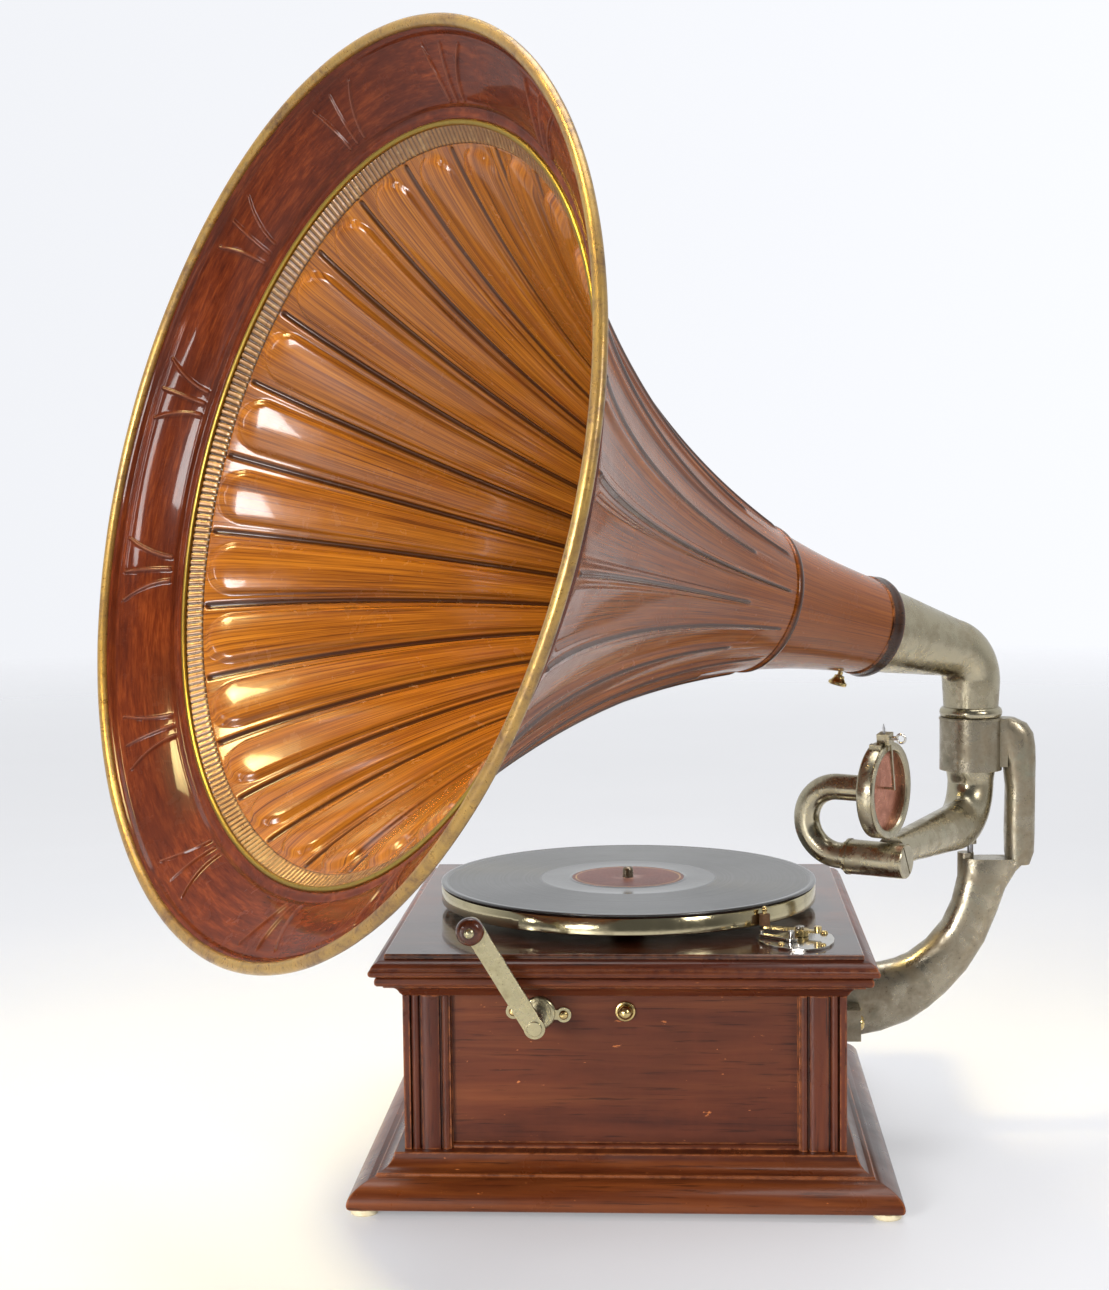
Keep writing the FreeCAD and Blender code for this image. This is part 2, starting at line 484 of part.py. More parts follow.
TURNS = 5
worm = thread(WORM_R - 1.7, WORM_R + 0.8, 1.75, 0.9, TURNS, 12)
gsh = fuse([cyl(GX, -17.0, GOV_Z, 2.0, 84.0, (0, 1, 0)), cyl(GX, -11.2, GOV_Z, WORM_R - 1.5, 22.4, (0, 1, 0)), cyl(GX, 16.0, GOV_Z, 6.0, 4.0, (0, 1, 0)), worm])
export(gsh, "governor_shaft")
disc = fuse([turned([(2.0, 52.0), (6.0, 52.0), (6.0, 56.5), (16.0, 56.5), (16.0, 58.0), (2.0, 58.0)], V(GX, 0, GOV_Z), V(0, 1, 0))])
wts = [disc]
for i in range(3):
    t = 2 * math.pi * i / 3 + 0.4
    cx, cz = math.cos(t), math.sin(t)
    def pt(r, y, o, cx=cx, cz=cz):
        return V(GX + r * cx - o * cz, y, GOV_Z + r * cz + o * cx)
    path = [(5.9, 18.0), (9.5, 26.0), (11.5, 35.5), (9.5, 45.0), (5.9, 54.0)]
    vs, fs = [], []
    for r, y in path:
        for dr, o in ((0, -2.2), (0.5, -2.2), (0.5, 2.2), (0, 2.2)):
            vs.append(pt(r + dr, y, o))
    for j in range(4):
        b, c = 4 * j, 4 * j + 4
        for q in range(4):
            q2 = (q + 1) % 4
            fs.append([b + q, b + q2, c + q2, c + q])
    fs.append([0, 1, 2, 3])
    fs.append([16, 17, 18, 19])
    leaf = solid_from(vs, fs)
    wts.append(leaf)
    wts.append(Part.makeSphere(4.0, pt(14.0, 35.5, 0)))
wts = fuse(wts)
wts = wts.cut(cyl(GX, -20, GOV_Z, 2.0, 100, (0, 1, 0))).cut(cyl(GX, 15.9, GOV_Z, 6.0, 4.1, (0, 1, 0)))
export(wts, "governor_weights")

gb = []
for y0, y1 in ((-16.5, -13.5), (63.0, 66.0)):
    p = box(GX - 6.5, y0, GOV_Z - 6, GX + 8, y1, BED_Z0)
    p = fuse([p, box(GX - 6.5, min(y0, y1 - 11), BED_Z0 - 2.5, GX + 8, max(y1, y0 + 3), BED_Z0)]) if y0 < 0 else fuse([p, box(GX - 6.5, y0 - 8, BED_Z0 - 2.5, GX + 8, y1, BED_Z0)])
    gb.append(p.cut(cyl(GX, y0 - 2, GOV_Z, 2.06, 8, (0, 1, 0))))
export(group(gb), "governor_brackets")

# friction lever, pivoting on a stud under the bed plate beside the disc
FLX, FLY = GX + 18.0, 61.2
fl = fuse([box(FLX - 2.0, 58.9, GOV_Z - 4, FLX + 2.0, 61.9, 112.0), cyl(FLX - 4, 60.4, 112.0, 3.0, 8.0, (1, 0, 0)),
           box(GX + 8.0, 58.9, GOV_Z - 4, FLX + 2.0, 61.4, GOV_Z + 2), cyl(GX + 10.0, 58.3, GOV_Z - 1, 2.2, 1.2, (0, 1, 0))])
fl = fl.cut(cyl(FLX - 10, 60.4, 112.0, 1.56, 20, (1, 0, 0)))
export(fl, "friction_lever")

# plates and pillars
PIL = [(-98.0, -86.0), (46.0, -86.0), (46.0, 74.0), (-98.0, 74.0)]
bed = box(-106, -94, BED_Z0, 54, 82, BED_Z1)
low = box(-106, -94, LOW_Z0, 54, 82, LOW_Z1)
bed = bed.cut(cyl(0, 0, 130, 4.06, 20)).cut(cyl(INT_X, INT_Y, 130, 2.56, 20))
low = low.cut(cyl(0, 0, 40, 2.56, 20)).cut(cyl(INT_X, INT_Y, 40, 2.56, 20)).cut(cyl(BAR_X, BAR_Y, 40, 3.06, 20))
for x, y in SCREW_XY:
    bed = bed.cut(cyl(x, y, 130, 2.6, 20))
for x, y in PIL:
    bed = bed.cut(cyl(x, y, 130, 2.0, 20))
    low = low.cut(cyl(x, y, 40, 2.0, 20))
stud = [box(FLX - 9, 57.4, 108, FLX - 4.4, 63.4, BED_Z0), cyl(FLX - 9, 60.4, 112.0, 1.5, 13.6, (1, 0, 0))]
export(fuse([bed] + stud), "motor_bedplate")
export(low, "motor_lower_plate")
export(group([cyl(x, y, LOW_Z1, 4.5, BED_Z0 - LOW_Z1) for x, y in PIL]), "motor_pillars")
bolts = []
for x, y in PIL:
    bolts.append(fuse([cyl(x, y, BED_Z0, 1.98, BED_Z1 - BED_Z0), cyl(x, y, BED_Z1, 3.6, 2.0)]))
    bolts.append(fuse([cyl(x, y, LOW_Z0, 1.98, LOW_Z1 - LOW_Z0), cyl(x, y, LOW_Z0 - 2.0, 3.6, 2.0)]))
for x, y in SCREW_XY:
    bolts.append(fuse([cyl(x, y, BED_Z0 - 3.4, 2.5, LID_TOP - BED_Z0 + 3.4), cone(x, y, LID_TOP, 4.6, 3.2, 1.2), cyl(x, y, BED_Z0 - 2.6, 4.4, 2.6)]))
export(group(bolts), "motor_bolts")

# ---------------------------------------------------------------- brake and speed plate
arc = [(84.0, -99.5), (81.5, -106.0), (82.5, -116.0), (86.5, -126.5), (93.5, -135.0), (102.0, -140.5), (111.0, -142.0), (119.0, -138.5),
       (125.0, -131.0), (128.4, -121.0), (129.6, -110.0), (128.6, -99.0), (125.6, -93.4), (120.0, -91.8), (104.0, -92.6), (92.0, -95.6)]
bpl = prism(arc, LID_TOP, LID_TOP + 1.5)
bpl = bpl.cut(cyl(BP[0], BP[1], 150, 1.86, 20))
bpl = fuse([bpl, cyl(BR[0], BR[1], LID_TOP + 1.5, 1.8, 6.1), cyl(BR[0], BR[1], LID_TOP + 5.9, 2.9, 1.7)])
export(bpl, "brake_plate")
scr = []
for x, y, r in ((124.0, -96.8, 2.6), (96.0, -128.5, 2.2), (121.0, -131.5, 2.2)):
    scr.append(turned([(0, 0), (r, 0), (r * 0.9, r * 0.4), (r * 0.6, r * 0.66), (0, r * 0.75)], V(x, y, LID_TOP + 1.5)))
Z0 = LID_TOP + 1.8


def bar(p, q, hw, z0, z1):
    ln = math.hypot(q[0] - p[0], q[1] - p[1])
    ux, uy = (q[0] - p[0]) / ln, (q[1] - p[1]) / ln
    pts = [(p[0] - uy * hw, p[1] + ux * hw), (p[0] + uy * hw, p[1] - ux * hw), (q[0] + uy * hw * 0.8, q[1] - ux * hw * 0.8), (q[0] - uy * hw * 0.8, q[1] + ux * hw * 0.8)]
    return prism(pts, z0, z1)


PAD = (87.3, -94.3)
brk = fuse([cyl(BR[0], BR[1], Z0, 5.6, 3.9), bar(BR, PAD, 2.8, Z0 + 2.5, Z0 + 3.9), cyl(PAD[0], PAD[1], Z0 + 2.5, 2.4, 1.4), cyl(PAD[0], PAD[1], Z0 + 3.9, 1.4, 10.6),
            Part.makeSphere(1.9, V(PAD[0], PAD[1], Z0 + 14.5)), bar(BR, (119.5, -108.6), 2.8, Z0 + 2.5, Z0 + 3.9), cyl(119.5, -108.6, Z0 + 2.5, 2.3, 4.2)])
brk = brk.cut(cyl(BR[0], BR[1], 150, 1.86, 20)).cut(cyl(BR[0], BR[1], LID_TOP + 5.7, 3.1, 3.0))
export(brk, "brake_lever")
pad = cyl(PAD[0], PAD[1], Z0 + 4.4, 3.4, 7.0).cut(cyl(PAD[0], PAD[1], 150, 1.4, 40))
export(pad, "brake_pad")
tipx, tipy = 85.0, -107.0
spd = fuse([cyl(BP[0], BP[1], Z0, 4.0, 1.5), bar(BP, (tipx, tipy), 2.6, Z0, Z0 + 1.5), cyl(tipx, tipy, Z0, 2.2, 1.5), cyl(tipx, tipy, Z0 + 1.5, 1.3, 2.2),
            cyl(BP[0], BP[1], Z0 + 1.5, 2.0, 4.6), cyl(BP[0], BP[1], 136.5, 1.8, Z0 - 136.5), bar(BP, (BP[0] - 12, BP[1] + 8), 2.6, 136.5, 138.3),
            cyl(BP[0], BP[1], 136.5, 3.0, 1.8)])
export(spd, "speed_lever")

# ---------------------------------------------------------------- bracket
def ell(cx, cz, dirx, dirz, hw, hy):
    """Ellipse section: half size hw along (dirx, dirz) in XZ, half size hy along Y."""
    n = math.hypot(dirx, dirz)
    dx_, dz_ = dirx / n, dirz / n
    e1, e2 = V(dx_, 0, dz_), V(0, 1, 0)
    if hw >= hy:
        c = Part.Ellipse(V(cx, 0, cz) + e1 * hw, V(cx, 0, cz) + e2 * hy, V(cx, 0, cz))
    else:
        c = Part.Ellipse(V(cx, 0, cz) + e2 * hy, V(cx, 0, cz) + e1 * hw, V(cx, 0, cz))
    return Part.Wire(c.toShape())


def ring_pts(cx, cz, dirx, dirz, hw, hy, n=24, sq=2.5):
    """Rounded section as points, a squared-off ellipse."""
    ln = math.hypot(dirx, dirz)
    ex, ez = dirx / ln, dirz / ln
    out = []
    for i in range(n):
        t = 2 * math.pi * i / n
        c, s = math.cos(t), math.sin(t)
        a_ = math.copysign(abs(c) ** (2.0 / sq), c) * hw
        b_ = math.copysign(abs(s) ** (2.0 / sq), s) * hy
        out.append(V(cx + ex * a_, b_, cz + ez * a_))
    return out


def skin(sections):
    """Closed solid through point rings, triangulated side by side."""
    n = len(sections[0])
    verts = [p for s in sections for p in s]
    faces = []
    for i in range(len(sections) - 1):
        for j in range(n):
            j2 = (j + 1) % n
            a_, b_, c_, d_ = i * n + j, i * n + j2, (i + 1) * n + j2, (i + 1) * n + j
            faces.append([a_, b_, c_])
            faces.append([a_, c_, d_])
    faces.append(list(range(n)))
    faces.append([(len(sections) - 1) * n + j for j in range(n)])
    return solid_from(verts, faces)


# arm sections: centre x, z, across direction, half height, half thickness in Y
ARM = [(128.4, 91.5, 0.0, 1.0, 25.0, 13.5), (146.0, 91.3, -0.10, 1.0, 24.4, 13.5), (162.0, 93.6, -0.26, 1.0, 23.3, 13.3), (177.0, 97.6, -0.46, 1.0, 21.6, 13.0),
       (188.5, 103.4, -0.60, 0.90, 19.7, 12.7), (198.5, 110.4, -0.72, 0.76, 18.1, 12.4), (211.3, 122.6, -0.82, 0.62, 16.6, 12.0), (222.4, 138.4, -0.91, 0.46, 15.5, 11.7),
       (229.6, 155.2, -0.97, 0.26, 15.3, 11.4), (234.0, 170.0, -1.0, 0.16, 16.2, 11.0), (238.4, 180.0, -1.0, 0.05, 18.6, 10.6), (242.6, 187.8, -1.0, 0.0, 23.0, 10.2)]
arm_s = skin([ring_pts(*q) for q in ARM])
# post on the outer side of the window, then the lobe that joins the collar
POSTS = [(258.2, 184.0, -1.0, 0.0, 7.6, 9.4), (259.0, 192.0, -1.0, 0.0, 9.6, 9.6), (259.0, 205.0, -1.0, 0.0, 10.0, 9.6), (259.4, 236.0, -1.0, 0.0, 9.8, 9.6),
         (258.6, 252.0, -1.0, 0.0, 10.8, 9.8), (256.0, 262.0, -1.0, 0.0, 13.2, 9.8), (254.0, 271.0, -1.0, 0.0, 13.8, 9.8), (251.0, 277.5, -1.0, 0.0, 12.6, 9.4), (248.0, 281.0, -1.0, 0.0, 8.0, 8.0)]
post_s = skin([ring_pts(*q) for q in POSTS])
web = box(236.0, -9.3, 249.2, 250.0, 9.3, 280.6)
collar = cyl(PIV_X, 0, COLLAR_BOTTOM, COLLAR_R, COLLAR_TOP - COLLAR_BOTTOM)
collar = fuse([collar, cyl(PIV_X, 0, COLLAR_TOP - 1.6, COLLAR_R + 0.5, 1.0)])
lower = cyl(224.0, 0, 176.0, 5.4, 15.4)
foot = box(128.4, -33.0, 71.7, 152.4, 33.0, 92.4)
for y in (-33.0, 33.0):
    for z in (71.7, 92.4):
        pass
cast = arm_s.fuse([post_s, web, collar, lower, foot])
cast = cast.cut(cyl(PIV_X, 0, 240, COLLAR_BORE, 60)).cut(cyl(PIV_X, 0, 181, 2.0, 20))
for y in (-24.0, 24.0):
    cast = cast.cut(cyl(120, y, 82.0, 2.6, 60, (1, 0, 0)))
export(cast, "bracket_casting")
# pivot pin under the tonearm, held in the casting's lower boss
export(cyl(PIV_X, 0, 181.0, 2.0, 19.0), "pivot_pin")
for y in (-24.0, 24.0):
    scr.append(fuse([cyl(112.0, y, 82.0, 2.5, 40.4, (1, 0, 0)), turned([(0, 0), (5.0, 0), (4.6, 1.5), (3.2, 2.6), (0, 3.0)], V(152.4, y, 82.0), V(1, 0, 0))]))
rp = []
export(group(scr + fp_s), "mounting_screws")

# ---------------------------------------------------------------- tonearm
al = math.radians(ARM_ANGLE)
DV = V(-math.cos(al), -math.sin(al), 0)       # along the arm, away from the swivel
CV = V(math.sin(al), -math.cos(al), 0)        # along the cross barrel
ZV = V(0, 0, 1)
PV = V(PIV_X, 0, 0)
BC = PV + DV * ARM_BARREL_DIST + ZV * ARM_BARREL_Z


def bent_tube(start, d0, d1, bend, angle, lead, r0, r_bend, tail, r_end):
    """Solid round bar: a straight lead into start, a bend from d0 towards d1, then a tapered tail along the new direction."""
    parts = []
    if abs(r0 - r_bend) > 1e-6:
        parts.append(Part.makeCone(r0, r_bend, lead, start - d0 * lead, d0))
    else:
        parts.append(Part.makeCylinder(r0, lead, start - d0 * lead, d0))
    face = Part.Face(Part.Wire(Part.makeCircle(r_bend, start, d0)))
    centre = start + d1 * bend
    parts.append(face.revolve(centre, d0.cross(d1), math.degrees(angle)))
    end = centre - d1 * (bend * math.cos(angle)) + d0 * (bend * math.sin(angle))
    dend = d0 * math.cos(angle) + d1 * math.sin(angle)
    parts.append(Part.makeCone(r_bend, r_end, tail, end, dend))
    out = parts[0].fuse(parts[1:])
    return out


ARM_BEND = 27.0
a_top = ARM_TUBE_Z + ARM_BEND
outer = bent_tube(PV + ZV * a_top, ZV * -1, DV, ARM_BEND, math.pi / 2, 6.0, 15.87, 15.0, ARM_BARREL_DIST - ARM_BEND - 4.0, 9.3)
outer = outer.fuse(cyl(PIV_X, 0, a_top + 6.0, 15.87, 260.4 - a_top - 6.0))
inner = bent_tube(PV + ZV * a_top, ZV * -1, DV, ARM_BEND, math.pi / 2, 6.0, 14.5, 13.7, ARM_BARREL_DIST - ARM_BEND - 6.0, 8.2)
inner = inner.fuse(cyl(PIV_X, 0, a_top + 6.0, 14.5, 262.0 - a_top - 6.0))
barrel = Part.makeCylinder(BARREL_R, 36.8, BC - CV * 26.5, CV)
ringl = Part.makeCylinder(BARREL_R + 0.5, 1.6, BC - CV * 26.5, CV)
boss = cyl(PIV_X, 0, 197.2, 4.2, 14.5)
bore = Part.makeCylinder(GOOSE_R + 0.06, 32.0, BC - CV * 27.5, CV)
tube = outer.fuse([barrel, ringl, boss])
tube = tube.cut(inner.cut(cyl(PIV_X, 0, 190, 5.2, 14.8)))
tube = tube.cut(bore).cut(cyl(PIV_X, 0, 190, 2.06, 10.8))
export(tube, "tonearm_tube")
cap_o = BC + CV * 10.3
cap = turned([(0, 0), (BARREL_R - 0.2, 0), (BARREL_R - 0.2, 1.2), (BARREL_R - 0.8, 1.8), (0, 1.8)], cap_o, CV)
slot = Part.makeBox(30, 1.2, 2, V(-15, -0.6, 1.1))
slot.Placement = FreeCAD.Placement(cap_o, FreeCAD.Rotation(V(0, 0, 1), CV))
export(cap.cut(slot), "barrel_cap")

# gooseneck: out of the barrel's left end, half a turn, back to the sound box
g0 = BC - CV * 2.0
g1 = BC - CV * 32.3
lean = math.radians(4.6)
NV = ZV * math.cos(lean) + DV * math.sin(lean)      # barrel axis to sound box axis
g2 = g1 + NV * GOOSE_SPAN
gm = g1 + NV * (GOOSE_SPAN / 2) - CV * (GOOSE_SPAN / 2)
g3 = BC + NV * GOOSE_SPAN + CV * (SB_FRONT - 11.4)
path = Part.Wire([Part.makeLine(g0, g1), Part.Arc(g1, gm, g2).toShape(), Part.makeLine(g2, g3)])
po = path.makePipeShell([Part.Wire(Part.makeCircle(GOOSE_R, g0, CV))], True, False)
pth2 = Part.Wire([Part.makeLine(g0 + CV * 1.0, g1), Part.Arc(g1, gm, g2).toShape(), Part.makeLine(g2, g3 + CV * 1.0)])
pi_ = pth2.makePipeShell([Part.Wire(Part.makeCircle(GOOSE_R - 1.2, g0 + CV * 1.0, CV))], True, False)
goose = po.cut(pi_)
col1 = Part.makeCylinder(GOOSE_R + 1.0, 2.4, BC - CV * 29.2, CV).cut(Part.makeCylinder(GOOSE_R - 0.5, 4, BC - CV * 30, CV))
goose = goose.fuse(col1)
export(goose, "gooseneck")

# ---------------------------------------------------------------- sound box, local frame: X to the needle, Z to the front
ln_ = math.radians(NEEDLE_LEAN)
WV = ZV * math.cos(ln_) + DV * math.sin(ln_)
YV = CV.cross(WV)
SC = BC + NV * GOOSE_SPAN + CV * SB_FRONT
M = FreeCAD.Matrix(WV.x, YV.x, CV.x, SC.x, WV.y, YV.y, CV.y, SC.y, WV.z, YV.z, CV.z, SC.z, 0, 0, 0, 1)


def local(s):
    s = s.copy()
    s.Placement = FreeCAD.Placement(M).multiply(s.Placement)
    return s


hous = turned([(7.0, -11.0), (SB_R - 1.2, -11.0), (SB_R - 0.3, -10.4), (SB_R, -9.6), (SB_R, -3.2), (SB_R - 0.5, -2.4), (SB_R - 0.5, -1.6), (25.2, -1.6), (25.2, -6.6), (22.0, -6.6), (20.0, -9.2), (7.0, -9.2)])
lug = [box(26.2, -8.6, -9.0, 31.0, -5.4, -1.6), box(26.2, 5.4, -9.0, 31.0, 8.6, -1.6)]
hous = fuse([hous] + lug)
export(local(hous), "soundbox_housing")
bez = turned([(24.2, -1.6), (SB_R, -1.6), (SB_R + 0.2, -0.9), (SB_R - 0.3, -0.2), (SB_R - 1.2, 0), (26.0, 0), (24.8, -0.5)])
export(local(bez), "soundbox_bezel")
export(local(turned([(GOOSE_R + 0.06, -14.4), (13.0, -14.4), (15.2, -13.4), (16.0, -12.2), (16.0, -11.0), (GOOSE_R + 0.06, -11.0)])), "rubber_flange")
export(local(turned([(0, -5.2), (25.2, -5.2), (25.2, -4.8), (0, -4.8)])), "diaphragm")
bar_s = fuse([box(0.6, -0.8, 0.6, 31.6, 0.8, 2.0), cyl(1.4, 0, -4.8, 0.8, 6.4), box(29.8, -3.6, -6.0, 36.2, 3.6, 2.0), cyl(30.6, -8.4, -4.4, 1.2, 16.8, (0, 1, 0)).cut(box(29, -9, -7, 33, 9, -1.6).cut(box(29, -5.3, -7, 33, 5.3, -1.6)))])
bar_s = bar_s.cut(cyl(30.5, 0, -2.4, 0.86, 12, (1, 0, 0)))
export(local(bar_s), "stylus_bar")
nee = fuse([cyl(31.5, 0, -2.4, 0.8, 7.8, (1, 0, 0)), cone(39.3, 0, -2.4, 0.8, 0.12, NEEDLE_LEN - 39.3, (1, 0, 0))])
export(local(nee), "needle")
ns = fuse([cyl(33.4, 0, 2.06, 1.3, 3.4), Part.makeTorus(2.7, 0.75, V(33.4, 0, 8.4), V(0, 1, 0)), cyl(33.4, 0, 5.2, 1.0, 1.0)])
export(local(ns), "needle_screw")

# ---------------------------------------------------------------- horn
U = V(HORN_DIR.x, HORN_DIR.y, HORN_DIR.z)
U.normalize()
E = V(PIV_X, 0, ELBOW_Z)


ELB_BEND = 24.0
ang = math.acos(U.z)
tl = ELB_BEND * math.tan(ang / 2)
hd = V(U.x, U.y, 0)
hd.normalize()
c0 = V(PIV_X, 0, ELBOW_Z - tl)
lead = ELBOW_Z - tl - 288.0
eo = bent_tube(c0, ZV, hd, ELB_BEND, ang, lead, 17.9, 18.9, 94.0 - tl, 28.6)
ei = bent_tube(c0, ZV, hd, ELB_BEND, ang, lead, 16.6, 17.6, 94.0 - tl + 0.2, 27.4)
# spigot in the collar, shoulder and bead
spig = turned([(13.6, 262.4), (15.88, 262.4), (15.88, 282.0), (19.2, 282.0), (20.1, 283.2), (20.5, 285.2), (19.9, 287.2), (18.6, 288.4), (17.9, 288.6), (17.9, 290.0), (16.6, 290.0), (13.6, 284.0)], V(PIV_X, 0, 0))
elb = eo.fuse(spig).cut(ei)
export(elb, "horn_elbow")


def outer_r(s):
    """Outside radius of the horn against distance from the elbow corner."""
    pts = [(NECK_S, 29.9), (120.0, 32.3), (150.0, 36.2), (SEAM_S, 44.6), (220.0, 53.0), (250.0, 63.3), (280.0, 75.6), (310.0, 90.0), (340.0, 106.6), (370.0, 125.6), (400.0, 147.0), (425.0, 167.0), (445.0, 185.0), (459.0, 198.6), (RING_S, 210.3)]
    for (a0, b0), (a1, b1) in zip(pts, pts[1:]):
        if s <= a1:
            f = (s - a0) / (a1 - a0)
            return b0 * (b1 / b0) ** f
    return pts[-1][1]


def wall(stations, t):
    """Closed (radius, s) outline of a thin wall; t is measured across it."""
    n = len(stations)
    inn = []
    for i, (s, r) in enumerate(stations):
        a_ = stations[max(i - 1, 0)]
        b_ = stations[min(i + 1, n - 1)]
        ds, dr = b_[0] - a_[0], b_[1] - a_[1]
        l_ = math.hypot(ds, dr)
        inn.append((s + t * dr / l_, r - t * ds / l_))
    return [(r, s) for s, r in stations] + [(r, s) for s, r in reversed(inn)]


def sheet(stations, t=SHEET):
    """Thin shell of revolution from (s, outer radius) stations."""
    return turned(wall(stations, t), E, U)


def leaves(stations, n, phase, t=SHEET):
    """The same shell as n equal leaves, seam to seam; phase is the first seam's angle from straight down."""
    pts = [V(r, 0, s) for r, s in wall(stations, t)]
    pts.append(pts[0])
    leaf = Part.Face(Part.makePolygon(pts)).revolve(V(0, 0, 0), V(0, 0, 1), 360.0 / n)
    if leaf.Volume < 0:
        leaf.reverse()
    d = V(0, 0, -1) - U * (V(0, 0, -1).dot(U))
    d.normalize()
    e = U.cross(d)
    out = []
    for k in range(n):
        a_ = math.radians(phase + 360.0 * k / n)
        x_ = d * math.cos(a_) + e * math.sin(a_)
        y_ = U.cross(x_)
        one = leaf.copy()
        one.Placement = FreeCAD.Placement(FreeCAD.Matrix(x_.x, y_.x, U.x, E.x, x_.y, y_.y, U.y, E.y, x_.z, y_.z, U.z, E.z, 0, 0, 0, 1))
        out.append(one)
    return out


thr = leaves([(NECK_S, 29.9), (108.0, 31.0), (120.0, 32.3), (135.0, 34.1), (150.0, 36.2), (165.0, 38.7), (180.0, 41.8), (190.4, 44.2)], 8, 0.0)
nring = turned([(28.75, 92.6), (30.0, 91.8), (31.6, 92.6), (32.3, 94.6), (31.9, 96.8), (31.4, 98.6), (31.7, 100.4), (31.4, 101.8), (30.7, 102.4), (29.9, 95.0), (28.75, 95.0)], E, U)
export(nring, "neck_ring")
bell_st = [(195.0, 45.6)] + [(s, outer_r(s)) for s in (206, 220, 235, 250, 265, 280, 295, 310, 325, 340, 355, 370, 385, 400, 412, 425, 436, 447, 458.4)]
sring = turned([(43.6, 189.6), (45.2, 189.2), (46.3, 190.4), (46.7, 192.0), (46.6, 193.4), (46.2, 195.0), (44.6, 195.0), (44.4, 191.6)], E, U)
export(group(leaves(bell_st, 13, SEAM_PHASE)), "horn_bell")
export(group(thr + [sring]), "horn_throat")
band_st = [(458.4, outer_r(458.4)), (462.0, outer_r(462)), (465.4, 206.9)]
export(sheet(band_st), "ribbed_band")
fl_st = [(466.2, 208.0), (468.6, 213.2), (472.0, 219.6), (476.4, 226.4), (481.4, 232.8), (486.8, 238.8), (492.0, 243.6), (497.0, 247.6), (499.2, 249.0)]
bead = Part.makeTorus(HORN_R, RIM_BEAD_R, V(0, 0, 0), V(0, 0, 1))
bead.Placement = FreeCAD.Placement(E + U * (HORN_L - 0.2), FreeCAD.Rotation(V(0, 0, 1), U))
export(bead, "rim_bead")
bring = Part.makeTorus(206.9, 1.5, V(0, 0, 0), V(0, 0, 1))
bring.Placement = FreeCAD.Placement(E + U * 467.9, FreeCAD.Rotation(V(0, 0, 1), U))
export(bring, "brass_ring")
export(sheet(fl_st).cut(bead).cut(bring), "horn_flange")

# thumb screw under the neck
down = V(0, 0, -1) - U * (V(0, 0, -1).dot(U))
down.normalize()
side = U.cross(down)
ts_dir = down * math.cos(0.15) - side * math.sin(0.15)
ts0 = E + U * 106.0 + ts_dir * 31.4
ts = turned([(0, 0), (1.6, 0), (1.6, 2.4), (3.1, 2.6), (3.4, 4.2), (4.6, 6.0), (5.8, 6.8), (6.0, 8.2), (5.2, 9.0), (0, 9.2)], ts0, ts_dir)
export(ts, "horn_thumbscrew")
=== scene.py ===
import json
import math
import bpy
import bmesh
import numpy as np
from mathutils import Vector, Matrix


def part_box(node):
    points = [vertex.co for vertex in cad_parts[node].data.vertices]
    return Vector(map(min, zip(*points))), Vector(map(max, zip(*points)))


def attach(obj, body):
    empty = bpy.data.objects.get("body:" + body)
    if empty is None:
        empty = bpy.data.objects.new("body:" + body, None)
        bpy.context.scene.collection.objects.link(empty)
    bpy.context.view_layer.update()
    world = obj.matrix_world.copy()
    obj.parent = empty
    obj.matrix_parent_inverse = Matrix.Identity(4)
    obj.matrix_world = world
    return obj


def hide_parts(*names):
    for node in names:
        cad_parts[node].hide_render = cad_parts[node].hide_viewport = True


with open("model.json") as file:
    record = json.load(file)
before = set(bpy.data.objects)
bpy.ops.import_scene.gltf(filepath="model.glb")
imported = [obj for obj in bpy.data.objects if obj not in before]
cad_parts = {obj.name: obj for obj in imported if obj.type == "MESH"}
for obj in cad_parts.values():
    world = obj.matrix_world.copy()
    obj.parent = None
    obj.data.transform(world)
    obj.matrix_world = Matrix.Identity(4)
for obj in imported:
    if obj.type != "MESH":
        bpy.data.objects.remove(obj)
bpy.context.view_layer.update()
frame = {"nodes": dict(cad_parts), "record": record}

scene = bpy.context.scene
BODY = {n: b for b, ns in frame["record"]["behaviour"]["bodies"].items() for n in ns}


